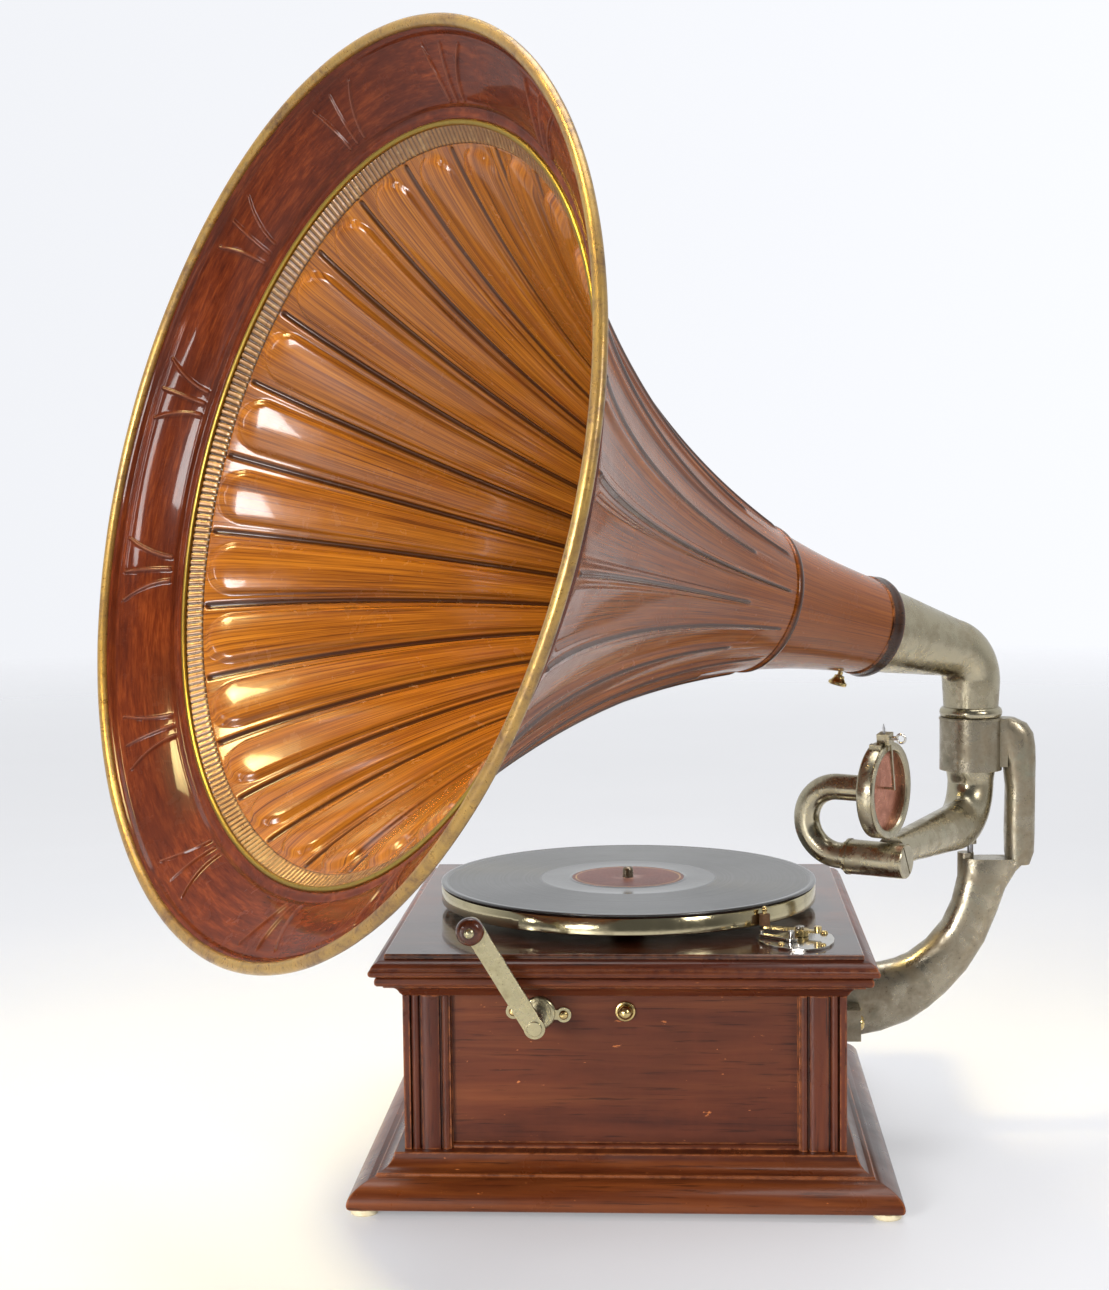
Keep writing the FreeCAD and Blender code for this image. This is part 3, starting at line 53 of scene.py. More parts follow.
# ---------------------------------------------------------------- node helpers
class Mat:
    def __init__(self, name):
        self.m = bpy.data.materials.new(name)
        self.m.use_nodes = True
        self.t = self.m.node_tree
        self.t.nodes.clear()
        out = self.t.nodes.new("ShaderNodeOutputMaterial")
        self.b = self.t.nodes.new("ShaderNodeBsdfPrincipled")
        self.t.links.new(self.b.outputs[0], out.inputs[0])
        self._obj = None

    def new(self, kind, **kw):
        n = self.t.nodes.new(kind)
        for k, v in kw.items():
            setattr(n, k, v)
        return n

    def put(self, sock, v):
        if isinstance(v, bpy.types.NodeSocket):
            self.t.links.new(v, sock)
        elif isinstance(v, (tuple, list)) and len(v) == 3 and len(sock.default_value) == 4:
            sock.default_value = (*v, 1.0)
        else:
            sock.default_value = v

    def set(self, **kw):
        names = dict(color="Base Color", metal="Metallic", rough="Roughness", normal="Normal", coat="Coat Weight",
                     coat_rough="Coat Roughness", coat_ior="Coat IOR", ior="IOR", sheen="Sheen Weight", sheen_rough="Sheen Roughness",
                     aniso="Anisotropic", tangent="Tangent", spec="Specular IOR Level", coat_normal="Coat Normal", coat_tint="Coat Tint")
        for k, v in kw.items():
            self.put(self.b.inputs[names[k]], v)
        return self

    def obj(self):
        if self._obj is None:
            self._obj = self.new("ShaderNodeTexCoord").outputs["Object"]
        return self._obj

    def map(self, scale=(1, 1, 1), rot=(0, 0, 0), loc=(0, 0, 0), vec=None):
        n = self.new("ShaderNodeMapping")
        self.put(n.inputs[0], vec if vec is not None else self.obj())
        n.inputs["Scale"].default_value = scale
        n.inputs["Rotation"].default_value = rot
        n.inputs["Location"].default_value = loc
        return n.outputs[0]

    def noise(self, vec, scale=1.0, detail=4.0, rough=0.55, dist=0.0, lac=2.0):
        n = self.new("ShaderNodeTexNoise")
        self.put(n.inputs["Vector"], vec)
        n.inputs["Scale"].default_value = scale
        n.inputs["Detail"].default_value = detail
        n.inputs["Roughness"].default_value = rough
        n.inputs["Lacunarity"].default_value = lac
        n.inputs["Distortion"].default_value = dist
        return n.outputs["Fac"]

    def voronoi(self, vec, scale=1.0, feature="F1", rnd=1.0):
        n = self.new("ShaderNodeTexVoronoi", feature=feature)
        self.put(n.inputs["Vector"], vec)
        n.inputs["Scale"].default_value = scale
        n.inputs["Randomness"].default_value = rnd
        return n.outputs["Distance"]

    def ramp(self, fac, stops, interp="LINEAR"):
        n = self.new("ShaderNodeValToRGB")
        n.color_ramp.interpolation = interp
        e = n.color_ramp.elements
        while len(e) > len(stops):
            e.remove(e[-1])
        while len(e) < len(stops):
            e.new(0.5)
        for x, (p, c) in zip(e, stops):
            x.position = p
            x.color = (c, c, c, 1) if isinstance(c, (int, float)) else (*c, 1)
        self.put(n.inputs[0], fac)
        return n.outputs[0]

    def mix(self, fac, a, b, blend="MIX"):
        n = self.new("ShaderNodeMix", data_type="RGBA", blend_type=blend)
        self.put(n.inputs[0], fac)
        self.put(n.inputs[6], a)
        self.put(n.inputs[7], b)
        return n.outputs[2]

    def math(self, op, a, b=0.0, c=0.0, clamp=False):
        n = self.new("ShaderNodeMath", operation=op, use_clamp=clamp)
        self.put(n.inputs[0], a)
        self.put(n.inputs[1], b)
        if len(n.inputs) > 2:
            self.put(n.inputs[2], c)
        return n.outputs[0]

    def rng(self, v, a, b, c, d):
        n = self.new("ShaderNodeMapRange", clamp=True)
        for i, x in enumerate((v, a, b, c, d)):
            self.put(n.inputs[i], x)
        return n.outputs[0]

    def bump(self, h, strength=0.3, dist=0.001, normal=None):
        n = self.new("ShaderNodeBump")
        n.inputs["Strength"].default_value = strength
        n.inputs["Distance"].default_value = dist
        self.put(n.inputs["Height"], h)
        if normal is not None:
            self.put(n.inputs["Normal"], normal)
        return n.outputs[0]

    def attr(self, name, kind="Vector"):
        n = self.new("ShaderNodeAttribute", attribute_type="GEOMETRY", attribute_name=name)
        return n.outputs[kind]

    def sep(self, v):
        n = self.new("ShaderNodeSeparateXYZ")
        self.put(n.inputs[0], v)
        return n.outputs

    def comb(self, x, y, z):
        n = self.new("ShaderNodeCombineXYZ")
        for i, v in enumerate((x, y, z)):
            self.put(n.inputs[i], v)
        return n.outputs[0]

    def edge(self, radius=0.0012, samples=4):
        """1 on worn corners, 0 on flats."""
        bev = self.new("ShaderNodeBevel", samples=samples)
        bev.inputs["Radius"].default_value = radius
        geo = self.new("ShaderNodeNewGeometry")
        dot = self.new("ShaderNodeVectorMath", operation="DOT_PRODUCT")
        self.put(dot.inputs[0], bev.outputs[0])
        self.put(dot.inputs[1], geo.outputs["Normal"])
        return self.rng(dot.outputs["Value"], 0.995, 0.86, 0.0, 1.0)

    def crevice(self, dist=0.006, samples=4):
        """1 in corners found by ambient occlusion, 0 in the open; the materials use it to paint shade into corners, and
        the wood also to place dust there.
        """
        ao = self.new("ShaderNodeAmbientOcclusion", samples=samples, only_local=True)
        ao.inputs["Distance"].default_value = dist
        return self.rng(ao.outputs["AO"], 0.9, 0.35, 0.0, 1.0)


# ---------------------------------------------------------------- materials
def wood(name, axis, dark, mid, light, rough=(0.24, 0.40), coat=0.16, coat_rough=0.10, wear=(0.42, 0.13, 0.035), wear_amt=1.0, chips=0.5, figure=1.0, worn_lo=0.5):
    """Polished timber; axis is the grain direction."""
    m = Mat(name)
    al, ac = 4.0, 62.0
    s = {"X": (al, ac, ac), "Y": (ac, al, ac), "Z": (ac, ac, al)}[axis]
    s2 = {"X": (22, 520, 520), "Y": (520, 22, 520), "Z": (520, 520, 22)}[axis]
    s3 = {"X": (2.2, 9, 9), "Y": (9, 2.2, 9), "Z": (9, 9, 2.2)}[axis]
    g1 = m.noise(m.map(s), 1.0, 7, 0.62, 0.55 * figure)
    big = m.noise(m.map(s3), 1.0, 3, 0.5, 1.4)
    pores = m.noise(m.map(s2), 1.0, 3, 0.6, 0.15)
    col = m.ramp(g1, [(0.25, dark), (0.47, mid), (0.72, light)])
    col = m.mix(m.rng(big, 0.35, 0.7, 0.0, 0.55), col, tuple(x * 0.55 for x in dark), "MIX")
    pm = m.rng(pores, 0.42, 0.33, 0.0, 1.0)
    col = m.mix(m.math("MULTIPLY", pm, 0.65), col, tuple(x * 0.22 for x in dark))
    blot = m.noise(m.obj(), 38, 5, 0.6, 0.3)
    col = m.mix(m.rng(blot, 0.45, 0.8, 0.0, 0.35), col, tuple(x * 1.25 for x in mid))
    e = m.edge(0.0019)
    nick = m.noise(m.obj(), 130, 5, 0.7, 0.2)
    cre = m.crevice(0.007)
    open_ = m.math("SUBTRACT", 1.0, cre, clamp=True)
    e = m.math("MULTIPLY", e, open_)
    w = m.math("MULTIPLY", e, m.rng(nick, worn_lo - 0.10, worn_lo + 0.06, 0.0, wear_amt), clamp=True)
    col = m.mix(w, col, wear)
    spot = m.noise(m.map({"X": (90, 240, 240), "Y": (240, 90, 240), "Z": (240, 240, 90)}[axis], loc=(3, 5, 7)), 1.0, 4, 0.72, 0.1)
    ch = m.rng(spot, 0.690, 0.715, 0.0, chips)
    col = m.mix(ch, col, tuple(min(1, x * 1.3) for x in wear))
    dust = m.rng(m.noise(m.obj(), 210, 3, 0.7), 0.6, 0.75, 0.0, 0.25)
    # painted shade: the occlusion mask darkens corners to near-black
    col = m.mix(m.math("MULTIPLY", cre, 0.75), col, tuple(x * 0.18 for x in dark))
    col = m.mix(m.math("MULTIPLY", m.math("MULTIPLY", cre, dust), 0.8), col, (0.30, 0.24, 0.19))
    ru = m.rng(m.noise(m.obj(), 24, 5, 0.65, 0.4), 0.3, 0.75, rough[0], rough[1])
    ru = m.math("ADD", ru, m.math("MULTIPLY", w, 0.28), clamp=True)
    h = m.math("ADD", m.math("MULTIPLY", g1, 0.35), m.math("MULTIPLY", pm, -0.5))
    h = m.math("SUBTRACT", h, m.math("MULTIPLY", ch, 0.6))
    wav = m.noise(m.obj(), 9, 3, 0.5, 0.4)
    nrm = m.bump(h, 0.16, 0.0004)
    nrm = m.bump(wav, 0.10, 0.0030, nrm)
    m.set(color=col, rough=ru, normal=nrm, coat=coat, coat_rough=coat_rough, ior=1.45, spec=0.32)
    return m.m


def nickel(name, patina=0.0, base=(0.60, 0.575, 0.53), rough=(0.10, 0.22), yellow=0.0, stain=(0.20, 0.145, 0.085), seed=0.0):
    m = Mat(name)
    a = m.noise(m.map(loc=(seed, 0, 0)), 48, 7, 0.66, 0.3)
    b = m.noise(m.map(loc=(0, seed, 3)), 95, 6, 0.72, 0.4)
    c = m.noise(m.map(loc=(0, 1, seed)), 410, 4, 0.7, 0.2)
    sp = m.voronoi(m.map(loc=(seed, 2, 0)), 520)
    f = m.math("ADD", m.math("MULTIPLY", a, 0.62), m.math("MULTIPLY", b, 0.38))
    pat = m.rng(f, 0.54 - 0.10 * patina, 0.74 - 0.08 * patina, 0.0, min(0.85, 0.2 + 0.75 * patina))
    col = m.mix(m.rng(b, 0.3, 0.75, 0.0, 0.5), base, tuple(x * 0.72 for x in base))
    col = m.mix(yellow, col, (0.56, 0.47, 0.25))
    col = m.mix(pat, col, stain)
    green = m.rng(m.noise(m.map(loc=(7, seed, 1)), 44, 6, 0.7, 0.5), 0.56, 0.74, 0.0, 0.5 * patina)
    col = m.mix(green, col, (0.24, 0.28, 0.22))
    dots = m.math("MULTIPLY", m.rng(sp, 0.22, 0.10, 0.0, 1.0), m.rng(b, 0.5, 0.62, 0.0, 1.0))
    col = m.mix(m.math("MULTIPLY", dots, 0.25 + 0.6 * patina, clamp=True), col, (0.05, 0.035, 0.02))
    cre = m.crevice(0.004)
    # painted shade: the occlusion mask darkens the colour in corners
    col = m.mix(m.math("MULTIPLY", cre, 0.8), col, (0.055, 0.042, 0.026))
    e = m.math("MULTIPLY", m.edge(0.0007), m.rng(b, 0.4, 0.6, 0.3, 1.0))
    col = m.mix(m.math("MULTIPLY", e, 0.5), col, (0.66, 0.56, 0.33))
    metal = m.rng(m.math("MAXIMUM", pat, m.math("MAXIMUM", green, cre)), 0.0, 1.0, 1.0, 0.55)
    ru = m.rng(b, 0.3, 0.72, rough[0], rough[1])
    ru = m.math("ADD", ru, m.math("MULTIPLY", pat, 0.30), clamp=True)
    ru = m.math("ADD", ru, m.math("MULTIPLY", green, 0.25), clamp=True)
    scr = m.noise(m.map((900, 60, 300), rot=(0.3, 0.5, 0.2)), 1.0, 3, 0.6)
    h = m.math("ADD", m.math("MULTIPLY", c, 0.4), m.math("MULTIPLY", b, 0.6))
    h = m.math("ADD", h, m.math("MULTIPLY", dots, -0.7))
    h = m.math("ADD", h, m.math("MULTIPLY", scr, 0.25))
    m.set(color=col, metal=metal, rough=ru, normal=m.bump(h, 0.10 + 0.20 * patina, 0.00035))
    return m.m


def brass(name, aged=0.3, base=(0.74, 0.50, 0.17), rough=(0.14, 0.30), dark=(0.10, 0.065, 0.028)):
    m = Mat(name)
    a = m.noise(m.obj(), 70, 7, 0.7, 0.6)
    b = m.noise(m.obj(), 260, 5, 0.7, 0.3)
    f = m.math("ADD", m.math("MULTIPLY", a, 0.6), m.math("MULTIPLY", b, 0.4))
    t = m.rng(f, 0.60 - 0.2 * aged, 0.74 - 0.16 * aged, 0.0, min(1.0, 0.4 + aged))
    col = m.mix(m.rng(b, 0.3, 0.7, 0.0, 0.6), base, tuple(x * 0.7 for x in base))
    col = m.mix(t, col, dark)
    cre = m.crevice(0.003)
    # painted shade: the occlusion mask darkens the colour in corners
    col = m.mix(m.math("MULTIPLY", cre, 0.8), col, tuple(x * 0.4 for x in dark))
    ru = m.math("ADD", m.rng(b, 0.3, 0.7, rough[0], rough[1]), m.math("MULTIPLY", t, 0.25), clamp=True)
    m.set(color=col, metal=m.rng(t, 0, 1, 1.0, 0.7), rough=ru, normal=m.bump(m.math("ADD", a, b), 0.22, 0.0003))
    return m.m


def steel(name, base=(0.42, 0.42, 0.43), rough=(0.2, 0.38)):
    m = Mat(name)
    a = m.noise(m.obj(), 120, 6, 0.7, 0.3)
    b = m.noise(m.map((40, 900, 900)), 1.0, 3, 0.6)
    col = m.mix(m.rng(a, 0.45, 0.75, 0, 0.6), base, (0.14, 0.10, 0.07))
    m.set(color=col, metal=0.95, rough=m.rng(a, 0.3, 0.7, rough[0], rough[1]), normal=m.bump(m.math("ADD", a, b), 0.12, 0.0002))
    return m.m


def horn_wood(name, deep=1.0):
    """Hand-grained lacquer on sheet metal: streaks run from the throat to the mouth."""
    m = Mat(name)
    v = m.attr("ha")
    disp = m.attr("hd", "Fac")
    g1 = m.noise(m.map((34, 34, 7), vec=v), 1.0, 6, 0.62, 0.35)
    g2 = m.noise(m.map((150, 150, 17), vec=v), 1.0, 5, 0.65, 0.25)
    g3 = m.noise(m.map((11, 11, 14), loc=(2, 1, 4), vec=v), 1.0, 4, 0.55, 0.8)
    col = m.ramp(m.math("ADD", m.math("MULTIPLY", g1, 0.45), m.math("MULTIPLY", g2, 0.55)),
                 [(0.34, (0.060 * deep, 0.0155 * deep, 0.0022)), (0.45, (0.195 * deep, 0.058 * deep, 0.0055)), (0.56, (0.330 * deep, 0.112 * deep, 0.0090)), (0.70, (0.445 * deep, 0.170 * deep, 0.015))])
    col = m.mix(m.rng(g3, 0.5, 0.78, 0.0, 0.5), col, (0.19, 0.045, 0.010))
    col = m.mix(m.math("MULTIPLY", m.attr("ho", "Fac"), 0.80), col, (0.92, 0.66, 0.42), "MULTIPLY")
    streak = m.rng(m.noise(m.map((230, 230, 9), loc=(5, 0, 0), vec=v), 1.0, 3, 0.6, 0.1), 0.44, 0.34, 0.0, 0.85)
    col = m.mix(streak, col, (0.075, 0.018, 0.004))
    cre = m.crevice(0.010)
    # painted shade: near-black where hd is high, along the flute ridges (the grooves seen from inside) and the throat
    # seam bead
    gro = m.rng(disp, 0.44, 0.66, 0.0, 1.0)
    col = m.mix(m.math("MULTIPLY", gro, 0.85), col, (0.030, 0.009, 0.003))
    # painted shade: the occlusion mask darkens corners
    col = m.mix(m.math("MULTIPLY", cre, 0.55), col, (0.045, 0.013, 0.004))
    soot = m.rng(m.noise(m.obj(), 17, 5, 0.6, 0.5), 0.66, 0.78, 0.0, 0.45)
    col = m.mix(soot, col, (0.07, 0.035, 0.016))
    a = m.noise(m.obj(), 60, 5, 0.65, 0.3)
    ru = m.rng(a, 0.3, 0.75, 0.16, 0.32)
    orange = m.noise(m.obj(), 330, 4, 0.6, 0.2)
    nrm = m.bump(g2, 0.10, 0.0004)
    nrm = m.bump(orange, 0.07, 0.0005, nrm)
    nrm = m.bump(m.noise(m.obj(), 34, 3, 0.5, 0.3), 0.13, 0.0016, nrm)
    m.set(color=col, rough=ru, normal=nrm, coat=0.38, coat_rough=0.06, ior=1.45, spec=0.30)
    return m.m


def flange_wood(name):
    """Dark red mahogany lacquer, streaks run round the mouth."""
    m = Mat(name)
    v = m.attr("ha")
    x, y, z = m.sep(v)
    g1 = m.noise(m.comb(m.math("MULTIPLY", x, 7), m.math("MULTIPLY", y, 7), m.math("MULTIPLY", z, 420)), 1.0, 5, 0.62, 0.3)
    g2 = m.noise(m.comb(m.math("MULTIPLY", x, 26), m.math("MULTIPLY", y, 26), m.math("MULTIPLY", z, 1500)), 1.0, 3, 0.6, 0.2)
    big = m.noise(m.map((3, 3, 30), vec=v), 1.0, 4, 0.55, 0.6)
    col = m.ramp(m.math("ADD", m.math("MULTIPLY", g1, 0.6), m.math("MULTIPLY", g2, 0.4)),
                 [(0.32, (0.040, 0.007, 0.0028)), (0.5, (0.092, 0.0165, 0.0048)), (0.68, (0.175, 0.038, 0.0095))])
    col = m.mix(m.rng(big, 0.42, 0.7, 0.0, 0.6), col, (0.045, 0.009, 0.0042))
    disp = m.attr("hd", "Fac")
    # painted highlight: the raised marks (high hd) are lightened toward a pale red
    col = m.mix(m.rng(disp, 0.55, 0.9, 0.0, 0.55), col, (0.17, 0.060, 0.036))
    cre = m.crevice(0.006)
    # painted shade: the occlusion mask darkens corners
    col = m.mix(m.math("MULTIPLY", cre, 0.7), col, (0.016, 0.006, 0.004))
    chip = m.noise(m.map((1, 1, 1), loc=(9, 2, 4)), 55, 6, 0.75, 0.3)
    cm = m.rng(chip, 0.725, 0.75, 0.0, 0.9)
    col = m.mix(cm, col, (0.36, 0.12, 0.035))
    a = m.noise(m.obj(), 50, 5, 0.65, 0.3)
    nrm = m.bump(m.math("SUBTRACT", g1, cm), 0.10, 0.0004)
    nrm = m.bump(m.noise(m.obj(), 300, 4, 0.6), 0.06, 0.0005, nrm)
    nrm = m.bump(m.noise(m.obj(), 30, 3, 0.5), 0.10, 0.0016, nrm)
    m.set(color=col, rough=m.rng(a, 0.3, 0.75, 0.18, 0.34), normal=nrm, coat=0.26, coat_rough=0.05, ior=1.45, spec=0.05)
    return m.m


def band_mat(name):
    m = Mat(name)
    hd = m.attr("hd", "Fac")
    a = m.noise(m.obj(), 150, 6, 0.7, 0.3)
    b = m.noise(m.obj(), 26, 5, 0.6, 0.4)
    # colour follows the rib relief hd: painted shade near-black in the gaps between ribs, bronze on the rib tops, and
    # bright gold at the rib ends as a painted highlight, partly rubbed wear
    col = m.ramp(hd, [(0.10, (0.040, 0.016, 0.005)), (0.4, (0.15, 0.066, 0.018)), (0.80, (0.28, 0.140, 0.042)), (1.0, (0.60, 0.42, 0.18))])
    col = m.mix(m.rng(b, 0.45, 0.72, 0.0, 0.6), col, (0.13, 0.052, 0.016))
    col = m.mix(m.rng(a, 0.55, 0.75, 0.0, 0.4), col, (0.60, 0.42, 0.18))
    m.set(color=col, metal=0.35, rough=m.rng(a, 0.3, 0.7, 0.22, 0.42), normal=m.bump(a, 0.2, 0.0004), coat=0.35, coat_rough=0.12)
    return m.m


def rim_mat(name):
    m = Mat(name)
    a = m.noise(m.obj(), 22, 6, 0.66, 0.5)
    b = m.noise(m.obj(), 150, 6, 0.72, 0.4)
    c = m.noise(m.obj(), 700, 3, 0.7)
    col = m.mix(m.rng(b, 0.35, 0.7, 0.0, 1.0), (0.34, 0.19, 0.045), (0.52, 0.35, 0.10))
    col = m.mix(m.rng(m.math("ADD", m.math("MULTIPLY", a, 0.5), m.math("MULTIPLY", b, 0.5)), 0.46, 0.60, 0.0, 0.85), col, (0.105, 0.045, 0.022))
    col = m.mix(m.rng(c, 0.60, 0.72, 0.0, 0.7), col, (0.045, 0.028, 0.015))
    m.set(color=col, metal=m.rng(a, 0.35, 0.65, 0.75, 0.45), rough=m.rng(b, 0.3, 0.7, 0.22, 0.46), normal=m.bump(m.math("ADD", b, m.math("MULTIPLY", c, 0.5)), 0.45, 0.0004), coat=0.25, coat_rough=0.15)
    return m.m


MA = dict(dark=(0.027, 0.0055, 0.0028), mid=(0.090, 0.0180, 0.0068), light=(0.190, 0.048, 0.014))
wood_x = wood("mahogany_x", "X", **MA)
wood_y = wood("mahogany_y", "Y", **MA)
wood_z = wood("mahogany_z", "Z", **MA)
plinth_x = wood("plinth_x", "X", (0.024, 0.0052, 0.0022), (0.090, 0.0185, 0.0048), (0.235, 0.062, 0.013), wear=(0.50, 0.155, 0.04), wear_amt=1.0, chips=0.8, worn_lo=0.46)
plinth_y = wood("plinth_y", "Y", (0.024, 0.0052, 0.0022), (0.090, 0.0185, 0.0048), (0.235, 0.062, 0.013), wear=(0.50, 0.155, 0.04), wear_amt=1.0, chips=0.8, worn_lo=0.46)
panel_x = wood("panel_x", "X", (0.055, 0.0110, 0.0045), (0.122, 0.0265, 0.0085), (0.205, 0.056, 0.016), rough=(0.28, 0.42), coat=0.10, chips=0.8, figure=1.6)
panel_y = wood("panel_y", "Y", (0.055, 0.0110, 0.0045), (0.122, 0.0265, 0.0085), (0.205, 0.056, 0.016), rough=(0.28, 0.42), coat=0.10, chips=0.8, figure=1.6)
lid_m = wood("lid_lacquer", "X", (0.020, 0.0055, 0.003), (0.060, 0.016, 0.007), (0.12, 0.036, 0.013), rough=(0.10, 0.22), coat=0.45, coat_rough=0.05, chips=0.15, wear=(0.36, 0.13, 0.05), figure=1.3)
pine = wood("base_pine", "X", (0.22, 0.12, 0.05), (0.36, 0.22, 0.10), (0.48, 0.32, 0.16), rough=(0.55, 0.7), coat=0.0, wear=(0.5, 0.34, 0.18))
knob_wood = wood("knob_wood", "Y", (0.030, 0.008, 0.004), (0.085, 0.020, 0.008), (0.16, 0.045, 0.015), rough=(0.14, 0.26), coat=0.5, wear_amt=0.4)
horn_m = horn_wood("horn_woodgrain")
throat_m = horn_wood("throat_woodgrain", 1.0)
neck_m = wood("neck_lacquer", "X", (0.016, 0.006, 0.003), (0.040, 0.014, 0.006), (0.075, 0.028, 0.010), rough=(0.2, 0.35), coat=0.3)
spindle_m = steel("spindle_steel", (0.20, 0.165, 0.12), (0.22, 0.36))
flange_m = flange_wood("horn_mahogany")
band_m = band_mat("bronze_band")
rim_m = rim_mat("rim_aged_brass")
ring_m = brass("brass_ring_mat", 0.35, (0.40, 0.27, 0.055), (0.28, 0.42), (0.16, 0.10, 0.025))
brass_m = brass("brass_bright", 0.30, (0.66, 0.50, 0.22))
brass_old = brass("brass_aged", 0.6, (0.52, 0.36, 0.13), (0.22, 0.4))
nick = nickel("nickel_bright", 0.12, rough=(0.07, 0.18))
nick_rim = nickel("platter_plate", 0.20, (0.56, 0.50, 0.34), rough=(0.08, 0.18), yellow=0.35)
nick_yel = nickel("crank_plate", 0.75, (0.47, 0.44, 0.30), rough=(0.20, 0.34), yellow=0.40, stain=(0.20, 0.165, 0.085), seed=4)
nick_pat = nickel("nickel_patina", 0.60, (0.42, 0.38, 0.285), rough=(0.16, 0.31), yellow=0.16, stain=(0.21, 0.155, 0.090), seed=2)
nick_cast = nickel("cast_patina", 0.85, (0.36, 0.32, 0.25), rough=(0.20, 0.34), yellow=0.10, stain=(0.20, 0.150, 0.090), seed=9)
steel_m = steel("steel")
dark_steel = steel("spring_steel", (0.20, 0.21, 0.24), (0.25, 0.4))


def felt_mat():
    m = Mat("felt")
    a = m.noise(m.obj(), 900, 5, 0.75, 0.4)
    b = m.noise(m.obj(), 40, 5, 0.6)
    col = m.mix(m.rng(a, 0.3, 0.7, 0, 1), (0.045, 0.010, 0.010), (0.11, 0.030, 0.026))
    col = m.mix(m.rng(b, 0.45, 0.75, 0, 0.4), col, (0.10, 0.06, 0.05))
    m.set(color=col, rough=0.95, sheen=0.5, sheen_rough=0.5, normal=m.bump(a, 0.6, 0.0006))
    return m.m


def shellac():
    m = Mat("shellac_record")
    x, y, z = m.sep(m.obj())
    r = m.math("SQRT", m.math("ADD", m.math("MULTIPLY", x, x), m.math("MULTIPLY", y, y)))
    lane = m.noise(m.comb(m.math("MULTIPLY", r, 420), 0.0, 0.0), 1.0, 5, 0.75)
    fine = m.noise(m.comb(m.math("MULTIPLY", r, 2600), 1.0, 0.0), 1.0, 2, 0.7)
    groove = m.math("MULTIPLY", m.rng(r, 0.0575, 0.0595, 0.0, 1.0), m.rng(r, 0.1215, 0.1195, 0.0, 1.0))
    dustn = m.noise(m.obj(), 420, 5, 0.75, 0.2)
    col = m.mix(m.rng(lane, 0.3, 0.7, 0, 1), (0.010, 0.0095, 0.009), (0.022, 0.021, 0.020))
    col = m.mix(m.rng(dustn, 0.66, 0.8, 0, 0.25), col, (0.20, 0.19, 0.18))
    ru = m.math("ADD", 0.15, m.math("MULTIPLY", groove, m.rng(lane, 0.3, 0.7, 0.12, 0.24)))
    ru = m.math("ADD", ru, m.rng(m.noise(m.obj(), 14, 4, 0.6), 0.4, 0.7, 0.0, 0.06))
    h = m.math("MULTIPLY", groove, m.math("ADD", m.math("MULTIPLY", fine, 0.8), m.math("MULTIPLY", lane, 1.2)))
    tan = m.new("ShaderNodeTangent", direction_type="RADIAL", axis="Z")
    m.set(color=col, rough=ru, normal=m.bump(h, 0.32, 0.00025), aniso=0.85, tangent=tan.outputs[0], ior=1.7, coat=0.6, coat_rough=0.16)
    return m.m


def paper():
    m = Mat("label_paper")
    x, y, z = m.sep(m.obj())
    r = m.math("SQRT", m.math("ADD", m.math("MULTIPLY", x, x), m.math("MULTIPLY", y, y)))
    a = m.noise(m.obj(), 600, 5, 0.7)
    b = m.noise(m.obj(), 60, 5, 0.65, 0.4)
    col = m.mix(m.rng(b, 0.35, 0.7, 0, 1), (0.080, 0.021, 0.018), (0.125, 0.040, 0.032))
    col = m.mix(m.rng(a, 0.5, 0.75, 0, 0.35), col, (0.17, 0.10, 0.08))
    ring = m.math("MULTIPLY", m.rng(r, 0.0343, 0.0346, 0.0, 1.0), m.rng(r, 0.0354, 0.0351, 0.0, 1.0))
    col = m.mix(m.math("MULTIPLY", ring, 0.7), col, (0.46, 0.34, 0.17))
    worn = m.math("MULTIPLY", m.rng(r, 0.012, 0.004, 0.0, 1.0), m.rng(b, 0.4, 0.6, 0, 0.8))
    col = m.mix(worn, col, (0.40, 0.30, 0.25))
    m.set(color=col, rough=m.rng(a, 0.3, 0.7, 0.35, 0.5), normal=m.bump(a, 0.15, 0.0002))
    return m.m


def copper():
    m = Mat("diaphragm_copper")
    a = m.noise(m.obj(), 130, 6, 0.7, 0.5)
    col = m.mix(m.rng(a, 0.35, 0.7, 0, 1), (0.52, 0.20, 0.115), (0.30, 0.10, 0.055))
    m.set(color=col, metal=0.8, rough=m.rng(a, 0.3, 0.7, 0.2, 0.4), normal=m.bump(a, 0.2, 0.0003))
    return m.m


def rubber():
    m = Mat("rubber_black")
    a = m.noise(m.obj(), 400, 5, 0.7)
    m.set(color=m.mix(m.rng(a, 0.3, 0.7, 0, 1), (0.012, 0.012, 0.012), (0.035, 0.033, 0.030)), rough=m.rng(a, 0.3, 0.7, 0.5, 0.7), normal=m.bump(a, 0.3, 0.0002))
    return m.m


def leather():
    m = Mat("leather_pad")
    a = m.voronoi(m.obj(), 1400)
    b = m.noise(m.obj(), 300, 5, 0.7)
    m.set(color=m.mix(m.rng(b, 0.3, 0.7, 0, 1), (0.10, 0.045, 0.018), (0.20, 0.10, 0.045)), rough=0.75, normal=m.bump(a, 0.4, 0.0002))
    return m.m


def foot():
    m = Mat("foot_pale")
    a = m.noise(m.obj(), 160, 6, 0.7, 0.4)
    col = m.mix(m.rng(a, 0.3, 0.7, 0, 1), (0.66, 0.55, 0.33), (0.80, 0.72, 0.50))
    cre = m.crevice(0.003)
    # painted shade: the occlusion mask darkens corners
    col = m.mix(m.math("MULTIPLY", cre, 0.7), col, (0.16, 0.10, 0.04))
    m.set(color=col, rough=m.rng(a, 0.3, 0.7, 0.35, 0.55), normal=m.bump(a, 0.2, 0.0004), coat=0.15)
    return m.m


felt_m, record_m, label_m, copper_m, rubber_m, leather_m, foot_m = felt_mat(), shellac(), paper(), copper(), rubber(), leather(), foot()


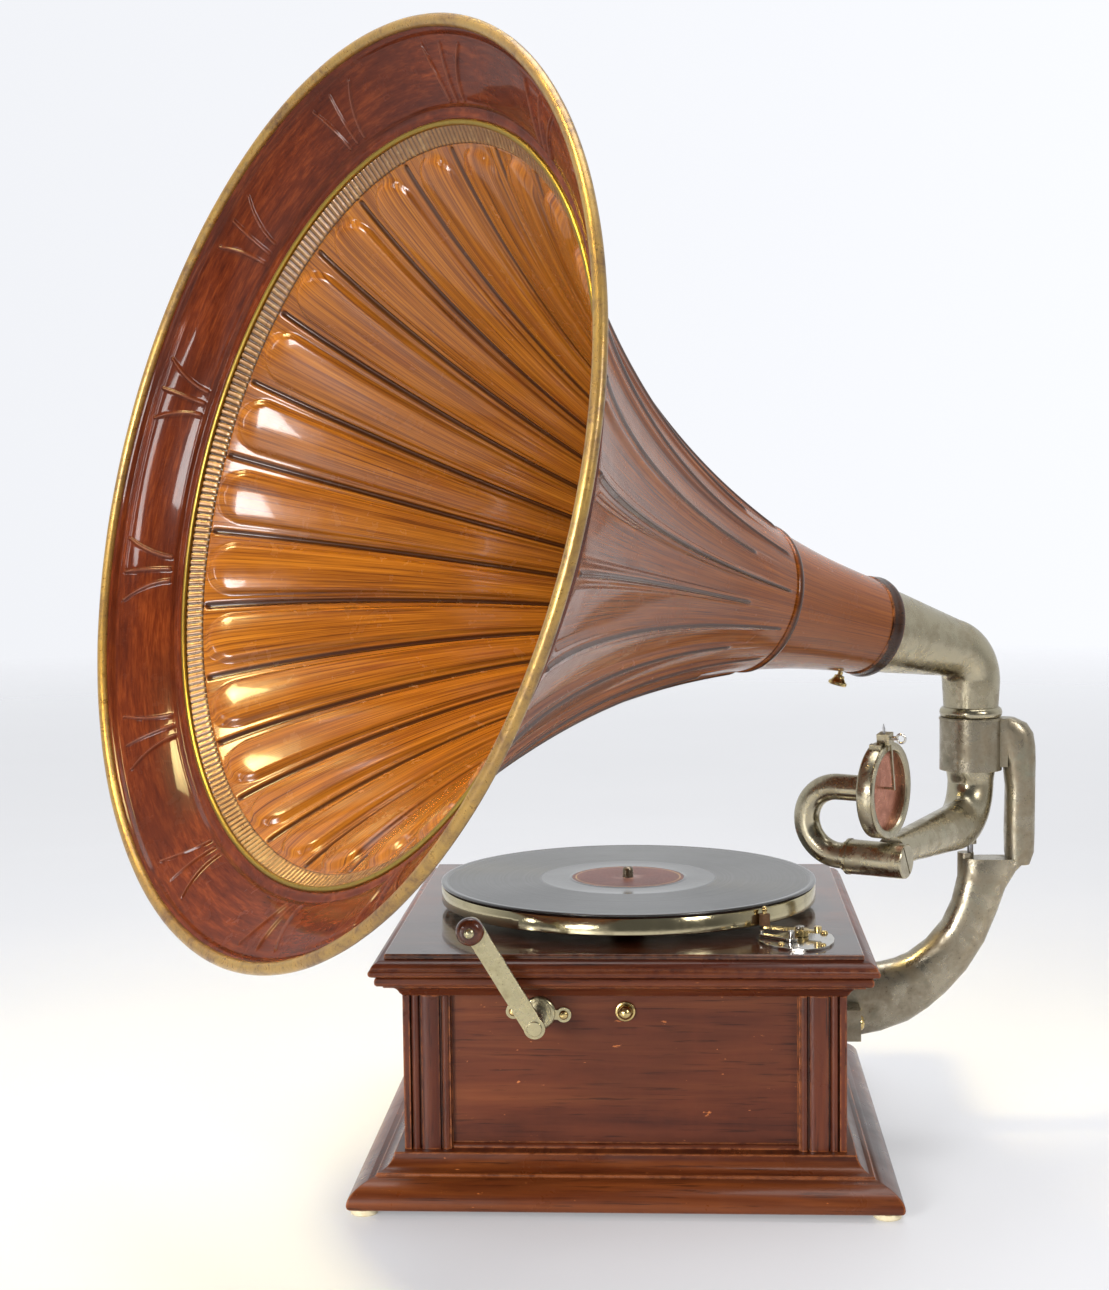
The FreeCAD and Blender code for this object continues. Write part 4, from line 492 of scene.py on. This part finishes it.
# ---------------------------------------------------------------- CAD nodes that keep their shape, with softened edges
def dress(node, mat, bevel=0.0, angle=33.0, segs=2, mitre=False, mats=None, pick=None):
    me = frame["nodes"][node].data.copy()
    me.name = node + "_mesh"
    if "custom_normal" in me.attributes:
        me.attributes.remove(me.attributes["custom_normal"])
    bm = bmesh.new()
    bm.from_mesh(me)
    bmesh.ops.remove_doubles(bm, verts=bm.verts, dist=3e-6)
    if mitre:
        gone = [f for f in bm.faces if abs(abs(f.normal.x) - abs(f.normal.y)) < 0.02 and abs(f.normal.z) < 0.02
                and all(abs(abs(v.co.y) - 0.006 - abs(v.co.x)) < 2e-5 for v in f.verts)]
        bmesh.ops.delete(bm, geom=gone, context="FACES_ONLY")
        bmesh.ops.remove_doubles(bm, verts=bm.verts, dist=3e-6)
    if bevel:
        bmesh.ops.dissolve_limit(bm, angle_limit=math.radians(0.6), verts=bm.verts, edges=bm.edges, delimit={"NORMAL"} if not mitre else set())
    me.materials.clear()
    for x in (mats or [mat]):
        me.materials.append(x)
    for f in bm.faces:
        f.smooth = True
        f.material_index = 0
        if mats and pick:
            f.material_index = pick(f.calc_center_median(), f.normal)
    for e in bm.edges:
        e.smooth = len(e.link_faces) == 2 and e.calc_face_angle(0.0) < math.radians(angle)
    bm.to_mesh(me)
    bm.free()
    ob = bpy.data.objects.new(node + "_skin", me)
    scene.collection.objects.link(ob)
    if bevel:
        b = ob.modifiers.new("soft", "BEVEL")
        b.width = bevel
        b.segments = segs
        b.limit_method = "ANGLE"
        b.angle_limit = math.radians(angle)
        b.use_clamp_overlap = True
        b.harden_normals = True
    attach(ob, BODY[node])
    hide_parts(node)
    return ob


def side_or_front(c, n):
    return 0 if abs(c.y) - 0.006 > abs(c.x) else 1


dress("plinth_moulding", None, 0.0007, mitre=True, mats=[plinth_x, plinth_y], pick=side_or_front)
dress("cornice_moulding", None, 0.0005, mitre=True, mats=[wood_x, wood_y], pick=side_or_front)
dress("lid_moulding", None, 0.0005, mitre=True, mats=[wood_x, wood_y], pick=side_or_front)
dress("corner_posts", wood_z, 0.0005)
dress("front_panel", panel_x, 0.0003)
dress("rear_side_panels", None, 0.0003, mats=[panel_x, panel_y], pick=side_or_front)
dress("base_board", pine, 0.0004)
dress("lid_board", lid_m, 0.0006)
dress("feet", foot_m, 0.0004, angle=40)
for n in ("lid_hinges",):
    dress(n, brass_old, 0.0002)
for n in ("latch_bezel", "latch_button", "governor_weights", "brake_lever", "mounting_screws", "horn_thumbscrew"):
    dress(n, brass_m, 0.00015, angle=38)
dress("neck_ring", neck_m)
dress("spindle", spindle_m, 0.0)
dress("crank_escutcheon", nick_yel, 0.0002, angle=38)
dress("crank_arm", nick_yel, 0.0003, angle=38)
dress("crank_knob", knob_wood)
dress("platter", nick_rim, 0.0002, angle=38)
dress("brake_plate", nick, 0.0002)
dress("speed_lever", nick, 0.0002)
dress("barrel_cap", nick_pat, 0.0002, angle=38)
dress("soundbox_housing", nick_pat, 0.0002, angle=38)
dress("soundbox_bezel", nick_pat, 0.0)
dress("needle_screw", nick, 0.0)
dress("rubber_flange", rubber_m, 0.0)
dress("diaphragm", copper_m, 0.0)
dress("stylus_bar", nick_pat, 0.0002, angle=38)
dress("gooseneck", nick_pat, 0.0, angle=40)
dress("tonearm_tube", nick_pat, 0.0, angle=40)
dress("bracket_casting", nick_cast, 0.0, angle=40)
dress("horn_elbow", nick_pat, 0.0, angle=40)
dress("platter_felt", felt_m, 0.0003)
for n in ("crank_shaft", "pivot_pin", "needle", "barrel_lid", "winding_arbor", "spring_barrel", "intermediate_arbor", "governor_shaft",
          "governor_brackets", "friction_lever", "motor_bedplate", "motor_lower_plate", "motor_pillars", "motor_bolts"):
    dress(n, steel_m, 0.0)
dress("mainspring", dark_steel, 0.0)
dress("brake_pad", leather_m, 0.0)


# ---------------------------------------------------------------- grids turned round an axis
def quads_obj(name, co, quads, mat, attrs=None):
    me = bpy.data.meshes.new(name)
    me.vertices.add(len(co))
    me.vertices.foreach_set("co", np.asarray(co, np.float32).ravel())
    q = np.asarray(quads, np.int32)
    me.loops.add(len(q) * 4)
    me.loops.foreach_set("vertex_index", q.ravel())
    me.polygons.add(len(q))
    me.polygons.foreach_set("loop_start", np.arange(0, len(q) * 4, 4, dtype=np.int32))
    me.update(calc_edges=True)
    me.validate()
    me.shade_smooth()
    for k, v in (attrs or {}).items():
        v = np.asarray(v, np.float32)
        a = me.attributes.new(k, "FLOAT_VECTOR" if v.ndim == 2 else "FLOAT", "POINT")
        a.data.foreach_set("vector" if v.ndim == 2 else "value", v.ravel())
    me.materials.append(mat)
    ob = bpy.data.objects.new(name, me)
    scene.collection.objects.link(ob)
    return ob


def grid_quads(rows, cols, wrap_rows=True):
    i = np.arange(rows if wrap_rows else rows - 1)[:, None]
    j = np.arange(cols)[None, :]
    i2, j2 = (i + 1) % rows, (j + 1) % cols
    return np.stack([np.broadcast_to(a, (len(i), cols)) for a in (i * cols + j, i * cols + j2, i2 * cols + j2, i2 * cols + j)], -1).reshape(-1, 4)


HE = np.array([0.227, 0.0, 0.3242])
HU = np.array([-0.7701, -0.5962, 0.2269])
HU /= np.linalg.norm(HU)
HD = np.array([0, 0, -1.0])
HD -= HU * HD.dot(HU)
HD /= np.linalg.norm(HD)
HS = np.cross(HU, HD)


def shell(name, s, r, phi, disp, mat, t=1.1, hd=None, parts="both"):
    """Closed sheet of revolution, mm: outer stations (s, r), displacement disp[row, col] along the wall's outward normal."""
    s, r = np.asarray(s, float), np.asarray(r, float)
    ds, dr = np.gradient(s), np.gradient(r)
    l = np.hypot(ds, dr)
    ns, nr = -dr / l, ds / l
    S = s[:, None] + ns[:, None] * disp
    R = r[:, None] + nr[:, None] * disp
    Si, Ri = S - ns[:, None] * t, R - nr[:, None] * t
    S = np.vstack([S, Si[::-1]])
    R = np.vstack([R, Ri[::-1]])
    c, q = np.cos(phi)[None, :], np.sin(phi)[None, :]
    P = HE + (HU * S[..., None] + HD * (R * c)[..., None] + HS * (R * q)[..., None]) / 1000.0
    rows, cols = S.shape
    h = hd if hd is not None else np.zeros_like(disp)
    h = np.vstack([h, h[::-1]])
    ha = np.stack([np.broadcast_to(c, S.shape), np.broadcast_to(q, S.shape), S / 1000.0], -1)
    ho = np.zeros(S.shape)
    ho[:rows // 2] = 1.0
    quads = grid_quads(rows, cols)
    # face winding: outward on the outer side
    a, b, d = P[0, 0], P[0, 1], P[1, 0]
    want = HD * math.cos(phi[0]) + HS * math.sin(phi[0])
    if np.dot(np.cross(b - a, d - a), want) < 0:
        quads = quads[:, ::-1]
    ob = quads_obj(name, P.reshape(-1, 3), quads, mat, {"ha": ha.reshape(-1, 3), "hd": h.reshape(-1), "ho": ho.reshape(-1)})
    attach(ob, "horn")
    return ob


def sstep(x):
    x = np.clip(x, 0, 1)
    return x * x * (3 - 2 * x)


# smooth outside profile of the bell
PR = np.array([(95, 29.9), (120, 32.3), (150, 36.2), (192, 44.6), (220, 53.0), (250, 63.3), (280, 75.6), (310, 90.0), (340, 106.6), (370, 125.6), (400, 147.0), (425, 167.0), (445, 185.0), (459, 198.6), (467.5, 210.3)])
sd_ = np.arange(60.0, 500.0, 0.5)
lr = np.interp(sd_, PR[:, 0], np.log(PR[:, 1]))
lo_k = (math.log(PR[1, 1]) - math.log(PR[0, 1])) / 25.0
hi_k = (math.log(PR[-1, 1]) - math.log(PR[-2, 1])) / 8.5
lr = np.where(sd_ < 95, math.log(29.9) + (sd_ - 95) * lo_k, lr)
lr = np.where(sd_ > 467.5, math.log(210.3) + (sd_ - 467.5) * hi_k, lr)
kern = np.exp(-0.5 * (np.arange(-40, 41) / 14.0) ** 2)
kern /= kern.sum()
pad = np.concatenate([lr[0] + (np.arange(-40, 0)) * (lr[1] - lr[0]), lr, lr[-1] + np.arange(1, 41) * (lr[-1] - lr[-2])])
sm = np.exp(np.convolve(pad, kern, "valid"))


def prof(s):
    return np.interp(s, sd_, sm)


NF = 26
PITCH = 2 * math.pi / NF
PHI0 = math.radians(-78.2)


def even_stations(s0, s1, step, tail=0.0, tail_step=0.0):
    """Stations evenly spaced along the wall, finer near the mouth end."""
    ss = np.arange(s0, s1 + 0.25, 0.5)
    L = np.concatenate([[0], np.cumsum(np.hypot(np.diff(ss), np.diff(prof(ss))))])
    tot = L[-1]
    a = np.linspace(0, tot - tail, max(2, int((tot - tail) / step)))
    if tail:
        a = np.concatenate([a, np.linspace(tot - tail, tot, int(tail / tail_step))[1:]])
    return np.interp(a, L, ss), a


ss, LL = even_stations(195.0, 458.7, 2.6, 46.0, 1.1)
rr = prof(ss)
tt = np.array([-0.5, -0.487, -0.474, -0.461, -0.449, -0.437, -0.42, -0.40, -0.38, -0.366, -0.352, -0.338, -0.322, -0.30, -0.27, -0.22, -0.16, -0.09,
               0.0, 0.09, 0.16, 0.22, 0.27, 0.30, 0.322, 0.338, 0.352, 0.366, 0.38, 0.40, 0.42, 0.437, 0.449, 0.461, 0.474, 0.487])
kk = np.arange(NF)
tcol = np.tile(tt, NF)
kcol = np.repeat(kk, len(tt))
phi = PHI0 + (kcol + tcol) * PITCH
# ridge index: boundary nearest to a column; every second boundary runs the whole way
bnd = np.where(tcol < 0, kcol, kcol + 1)
long_ = (bnd % 2 == 1)
pw = PITCH * rr[:, None]
xg = (0.5 - np.abs(tcol))[None, :] * pw
scale = np.clip((rr - 45.0) / 140.0, 0, 1)[:, None]
gw = 1.7 + 1.35 * scale
gh = 1.35 + 0.75 * scale
ridge = np.where(xg < gw, 0.5 * (1 + np.cos(np.pi * np.clip(xg / gw, 0, 1))), 0.0)
fade_long = sstep((ss - 200.0) / 7.0)[:, None]
fade_short = sstep((ss - 240.0) / 5.0)[:, None]
endfade = sstep((458.7 - ss) / 2.5)[:, None]
ridge = ridge * np.where(long_[None, :], fade_long, fade_short) * endfade
w = 0.345 * pw
Lend = LL[-1] - 2.6
wc = float(np.interp(Lend - 16.0, LL, w[:, 0]))
Lc = Lend - wc
xx = np.abs(tcol)[None, :] * pw
dist = np.where(LL[:, None] > Lc, np.hypot(xx, LL[:, None] - Lc) - wc, xx - w)
wloc = np.where(LL[:, None] > Lc, wc, w)
ew = 0.20 * wloc + 0.3
f = sstep((-dist + 0.45 * ew) / ew)
depth = (0.75 + 2.05 * scale) * sstep((ss - 205.0) / 55.0)[:, None]
crown = 0.13 * wloc * sstep((ss - 215.0) / 60.0)[:, None] * np.clip(1 - np.clip((dist + wloc) / wloc, 0, 1) ** 2, 0, 1)
lip = 0.35 * scale * np.exp(-((dist / (0.22 * wloc)) ** 2)) * 0
disp = gh * ridge - depth * f - crown
hd = 0.35 + 0.65 * ridge - 0.25 * f + 0.20 * 4 * f * (1 - f)
bell = shell("horn_bell_flutes", ss, rr, phi, disp, horn_m, 1.0, hd)
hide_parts("horn_bell")

# throat cone and the rolled seam where it meets the bell
s1 = np.concatenate([np.linspace(95.0, 188.6, 34), [189.2, 189.8, 190.4, 191.0, 191.6, 192.2, 192.8, 193.4, 194.0, 194.6, 195.2]])
r1 = prof(s1)
ph1 = np.arange(208) * (2 * math.pi / 208)
b1 = np.where(s1 > 189.0, np.sin(np.clip((s1 - 189.2) / 6.0, 0, 1) * math.pi) ** 0.8 * 1.35, 0.0)
d1 = np.repeat(b1[:, None], 208, 1)
d1 = d1 + 0.12 * np.sin(ph1 * 3 + 0.6)[None, :] * np.sin((s1 - 95) / 95 * math.pi)[:, None]
thr = shell("horn_throat_cone", s1, r1, ph1, d1, throat_m, 1.0, np.repeat((0.3 + 0.42 * b1 / 1.35)[:, None], 208, 1))
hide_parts("horn_throat")

# ribbed band
NR = 312
cr = 8
tb = (np.arange(cr) / cr - 0.5)
pb = PHI0 + (np.repeat(np.arange(NR), cr) + np.tile(tb, NR)) * (2 * math.pi / NR)
u = np.array([0, 0.03, 0.06, 0.10, 0.16, 0.3, 0.5, 0.7, 0.84, 0.90, 0.94, 0.97, 1.0])
s2 = 458.3 + (466.0 - 458.3) * u
r2 = np.interp(s2, [458.3, 461.8, 465.4, 466.0], [float(prof(458.3)), float(prof(458.3)) + 4.2, 206.9, 207.6])
env = sstep(u / 0.13) * sstep((1 - u) / 0.10)
wave = np.clip(0.5 * (1 + np.cos(2 * math.pi * np.tile(tb, NR))) * 2.1 - 0.12, 0, 1) ** 0.7
d2 = -(0.95 * wave[None, :]) * env[:, None]
# rib ends get a higher hd, which the band material paints bright gold: painted highlight, partly rubbed wear
end_highlight_and_wear = np.exp(-((u - 0.10) / 0.05) ** 2) + np.exp(-((u - 0.93) / 0.04) ** 2)
band = shell("ribbed_band_ribs", s2, r2, pb, d2, band_m, 0.9, np.clip(wave[None, :] * env[:, None] * (0.62 + 0.38 * end_highlight_and_wear[:, None]), 0, 1))
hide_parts("ribbed_band")

# flange with its raised panel and thirteen groups of three flared lines
FS = np.array([(466.2, 208.0), (468.6, 213.2), (472.0, 219.6), (476.4, 226.4), (481.4, 232.8), (486.8, 238.8), (492.0, 243.6), (497.0, 247.6), (499.2, 249.0)])
fl = np.concatenate([[0], np.cumsum(np.hypot(np.diff(FS[:, 0]), np.diff(FS[:, 1])))])
FLEN = fl[-1]
uf = np.unique(np.concatenate([np.linspace(0, 1, 64), np.linspace(0.13, 0.20, 8), np.linspace(0.80, 0.90, 9)]))
s3 = np.interp(uf * FLEN, fl, FS[:, 0])
r3 = np.interp(uf * FLEN, fl, FS[:, 1])
k5 = np.array([1, 4, 6, 4, 1]) / 16.0
for _ in range(6):
    s3[2:-2] = np.convolve(s3, k5, "valid")
    r3[2:-2] = np.convolve(r3, k5, "valid")
xd = np.concatenate([np.linspace(-22.5, 22.5, 112), np.linspace(22.5, 91.0, 12)[1:-1]])
MP = 2 * math.pi / 13
RM = MP * 232.0
p3 = []
x3 = []
for k in range(13):
    p3.append(PHI0 + k * MP + xd / 232.0 * (MP * 232.0 / (MP * 232.0)))
    x3.append(xd)
xw = 22.5 + (MP * 232.0 - 45.0) * (np.arange(12) / 11.0)
xd = np.concatenate([np.linspace(-22.5, 22.5, 112), xw[1:-1]])
p3 = np.concatenate([PHI0 + k * MP + xd / 232.0 for k in range(13)])
x3 = np.tile(xd, 13)
x3 = np.where(x3 > MP * 232.0 / 2, x3 - MP * 232.0, x3)
k3 = np.repeat(np.arange(13), len(xd))
panel = sstep((uf - 0.135) / 0.055) * (1 - sstep((uf - 0.835) / 0.055))
inner_roll = np.where(uf < 0.135, np.sin(np.clip(uf / 0.135, 0, 1) * math.pi), 0.0)
pillow = np.clip(1 - ((uf - 0.485) / 0.35) ** 2, 0, 1)
d3 = -(0.95 * panel + 0.95 * inner_roll + 3.2 * pillow)[:, None] * np.ones_like(x3)[None, :]
outer_roll = np.where(uf > 0.89, np.sin(np.clip((uf - 0.89) / 0.11, 0, 1) * math.pi), 0.0)
d3 = d3 - (0.6 * outer_roll)[:, None]
v = np.clip((uf - 0.20) / 0.60, 0, 1)[:, None]
act = sstep((uf - 0.185) / 0.02)[:, None] * (1 - sstep((uf - 0.80) / 0.035))[:, None]
marks = np.zeros_like(d3)
rng_ = np.random.RandomState(7)
jit = rng_.uniform(-0.8, 0.8, (13, 3))
for li, (base, spread) in enumerate(((-8.0, -10.5), (0.0, 0.6), (8.0, 10.5))):
    cx = base + spread * v ** 1.7 + jit[k3, li][None, :] * v
    wd = 0.95 * (1 - 0.55 * v ** 2) + 0.25
    marks = np.maximum(marks, np.exp(-((x3[None, :] - cx) / wd) ** 2) * act)
d3 = d3 - 1.35 * marks
flange = shell("horn_flange_panel", s3, r3, p3, d3, flange_m, 1.0, 0.3 + 0.7 * marks)
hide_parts("horn_flange")


def torus(name, s_c, R, rad, mat, n=360, k=18, wob=0.0, node=None, squash=1.0):
    a = np.arange(n) * (2 * math.pi / n)
    b = np.arange(k) * (2 * math.pi / k)
    wv = 1 + wob * (np.sin(a * 7 + 1) * 0.5 + np.sin(a * 17 + 2) * 0.3 + np.sin(a * 41) * 0.2)
    S = s_c + rad * squash * np.sin(b)[:, None] * wv[None, :]
    R_ = R + rad * np.cos(b)[:, None] * wv[None, :]
    c, q = np.cos(a)[None, :], np.sin(a)[None, :]
    P = HE + (HU * S[..., None] + HD * (R_ * c)[..., None] + HS * (R_ * q)[..., None]) / 1000.0
    quads = grid_quads(k, n)
    p00, p01, p10 = P[0, 0], P[0, 1], P[1, 0]
    if np.dot(np.cross(p01 - p00, p10 - p00), HD) < 0:
        quads = quads[:, ::-1]
    ob = quads_obj(name, P.reshape(-1, 3), quads, mat)
    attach(ob, "horn")
    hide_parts(node)
    return ob


torus("rim_roll", 500.2, 250.6, 3.4, rim_m, 420, 20, 0.03, "rim_bead")
torus("brass_ring_wire", 467.7, 207.1, 1.7, ring_m, 420, 14, 0.02, "brass_ring")


# ---------------------------------------------------------------- record and label
def lathe(name, pts, n, mat, body, nodes, wob=0.0):
    pts = np.asarray(pts, float)
    a = np.arange(n) * (2 * math.pi / n)
    R = pts[:, 0][:, None] * np.ones(n)[None, :]
    Z = pts[:, 1][:, None] + wob * (pts[:, 0] / pts[:, 0].max())[:, None] ** 2 * np.sin(a * 2 + 0.4)[None, :]
    P = np.stack([R * np.cos(a), R * np.sin(a), Z], -1) / 1000.0
    q = grid_quads(len(pts), n)
    vol = 0.0
    A, B, C, D = (P.reshape(-1, 3)[q[:, i]] for i in range(4))
    vol = (np.einsum("ij,ij->i", A, np.cross(B, C)) + np.einsum("ij,ij->i", A, np.cross(C, D))).sum()
    if vol < 0:
        q = q[:, ::-1]
    ob = quads_obj(name, P.reshape(-1, 3), q, mat)
    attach(ob, body)
    for x in nodes:
        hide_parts(x)
    return ob


rlo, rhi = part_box("record")
zt, zb = rhi.z * 1000, rlo.z * 1000
rec_pts = [(3.62, zb + 0.1), (3.62, zt - 0.15), (3.8, zt), (37.6, zt), (38.3, zt - 0.02), (39.0, zt - 0.30), (40.0, zt - 0.34), (57.0, zt - 0.34), (57.6, zt - 0.28), (58.4, zt - 0.30)]
rad = 59.0
i_ = 0
while rad < 119.8:
    rec_pts.append((rad, zt - (0.26 if i_ % 2 else 0.34)))
    rad += 0.62
    i_ += 1
rec_pts += [(120.4, zt - 0.34), (121.2, zt - 0.30), (122.0, zt - 0.12), (123.2, zt), (124.3, zt - 0.12), (124.85, zt - 0.5), (125.0, zt - 1.0), (124.8, zb + 0.35), (124.2, zb), (60, zb), (4.0, zb)]
lathe("record_disc", rec_pts, 360, record_m, "record", ["record"], 0.10)
llo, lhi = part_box("record_label")
lz, lb = lhi.z * 1000, llo.z * 1000
lathe("record_label_paper", [(3.8, lb), (3.8, lz), (4.2, lz + 0.02), (20, lz + 0.02), (37.2, lz + 0.02), (37.6, lz - 0.02), (37.7, lb)], 240, label_m, "record", ["record_label"], 0.0)

# ---------------------------------------------------------------- floor, light, camera
def floor():
    n, rows = 96, 24
    a = np.arange(n) * (2 * math.pi / n)
    rad_ = np.linspace(0.0, 1.0, rows) ** 1.4 * 9.0 + 0.02
    P = np.stack([rad_[:, None] * np.cos(a), rad_[:, None] * np.sin(a), np.zeros((rows, n))], -1)
    ob = quads_obj("floor", P.reshape(-1, 3), grid_quads(rows, n, False), None)
    ob.data.materials.clear()
    m = Mat("studio_floor")
    x, y, z = m.sep(m.obj())
    r = m.math("SQRT", m.math("ADD", m.math("MULTIPLY", x, x), m.math("MULTIPLY", y, y)))
    nz = m.noise(m.obj(), 3.0, 3, 0.5)
    m.set(color=m.mix(nz, (0.46, 0.46, 0.475), (0.50, 0.50, 0.515)), rough=0.42, spec=0.35)
    m.b.inputs["Emission Color"].default_value = (0.97, 0.975, 1.0, 1)
    m.b.inputs["Emission Strength"].default_value = 0.26
    tr = m.new("ShaderNodeBsdfTransparent")
    mx = m.new("ShaderNodeMixShader")
    m.put(mx.inputs[0], m.rng(r, 1.3, 4.2, 0.0, 1.0))
    m.t.links.new(m.b.outputs[0], mx.inputs[1])
    m.t.links.new(tr.outputs[0], mx.inputs[2])
    out = [x_ for x_ in m.t.nodes if x_.type == "OUTPUT_MATERIAL"][0]
    m.t.links.new(mx.outputs[0], out.inputs[0])
    ob.data.materials.append(m.m)
    fl_c = [p.vertices for p in ob.data.polygons]
    return ob


floor()

world = bpy.data.worlds.new("studio")
world.use_nodes = True
scene.world = world
wt = world.node_tree
wt.nodes.clear()
wo = wt.nodes.new("ShaderNodeOutputWorld")
bg = wt.nodes.new("ShaderNodeBackground")
bc = wt.nodes.new("ShaderNodeBackground")
tc = wt.nodes.new("ShaderNodeTexCoord")
sp = wt.nodes.new("ShaderNodeSeparateXYZ")
mr = wt.nodes.new("ShaderNodeMapRange")
lp = wt.nodes.new("ShaderNodeLightPath")
mxw = wt.nodes.new("ShaderNodeMixShader")
wt.links.new(tc.outputs["Generated"], sp.inputs[0])
wt.links.new(sp.outputs[1], mr.inputs[0])
mr.inputs[1].default_value = -0.55
mr.inputs[2].default_value = 0.25
mr.inputs[3].default_value = 0.13
mr.inputs[4].default_value = 0.80
bg.inputs[0].default_value = (0.96, 0.98, 1.0, 1)
wt.links.new(mr.outputs[0], bg.inputs[1])
bc.inputs[0].default_value = (0.930, 0.945, 0.985, 1)
mb = wt.nodes.new("ShaderNodeMapRange")
wt.links.new(sp.outputs[0], mb.inputs[0])
mb.inputs[1].default_value, mb.inputs[2].default_value, mb.inputs[3].default_value, mb.inputs[4].default_value = -0.38, 0.28, 0.945, 1.05
wt.links.new(mb.outputs[0], bc.inputs[1])
wt.links.new(lp.outputs["Is Camera Ray"], mxw.inputs[0])
wt.links.new(bg.outputs[0], mxw.inputs[1])
wt.links.new(bc.outputs[0], mxw.inputs[2])
wt.links.new(mxw.outputs[0], wo.inputs[0])


def area(name, loc, to, sx, sy, power, col=(1, 1, 1), spread=180.0):
    li = bpy.data.lights.new(name, "AREA")
    li.spread = math.radians(spread)
    li.shape = "RECTANGLE"
    li.size, li.size_y = sx, sy
    li.energy = power
    li.color = col
    ob = bpy.data.objects.new(name, li)
    scene.collection.objects.link(ob)
    ob.location = loc
    ob.rotation_euler = (Vector(to) - Vector(loc)).to_track_quat("-Z", "Y").to_euler()
    return ob


area("key_left", (-1.45, -2.75, 0.85), (-0.15, -0.15, 0.42), 0.80, 1.05, 84)
area("strip_left", (-2.45, -1.55, 1.05), (-0.2, -0.1, 0.42), 0.10, 1.1, 10)
area("fill_right", (2.1, -2.2, 1.7), (0.1, 0, 0.3), 0.7, 1.0, 36, (1.0, 0.98, 0.95))
area("top", (0.3, 0.3, 2.9), (0, 0, 0.2), 2.2, 1.8, 50)
area("warm_ceiling", (-1.10, -0.55, 2.15), (-0.2, -0.12, 0.35), 0.75, 0.42, 2.6, (1.0, 0.80, 0.34), 34.0)

cam_d = bpy.data.cameras.new("camera")
cam = bpy.data.objects.new("camera", cam_d)
scene.collection.objects.link(cam)
scene.camera = cam
cam_d.sensor_width = 36.0
cam_d.sensor_fit = "AUTO"
cam_d.lens = 59.70
cam_d.clip_start, cam_d.clip_end = 0.05, 60.0
yaw, pit, roll = -0.058, 0.079, -0.011
rt = Vector((math.cos(yaw), -math.sin(yaw), 0))
fw = Vector((math.sin(yaw) * math.cos(pit), math.cos(yaw) * math.cos(pit), -math.sin(pit)))
up = rt.cross(fw)
c_, s_ = math.cos(roll), math.sin(roll)
rt2 = rt * c_ + up * s_
up2 = up * c_ - rt * s_
M = Matrix.Identity(4)
for i in range(3):
    M[i][0], M[i][1], M[i][2] = rt2[i], up2[i], -fw[i]
M[0][3], M[1][3], M[2][3] = 0.034643, -1.417104, 0.443193
cam.matrix_world = M

scene.view_settings.view_transform = "Standard"
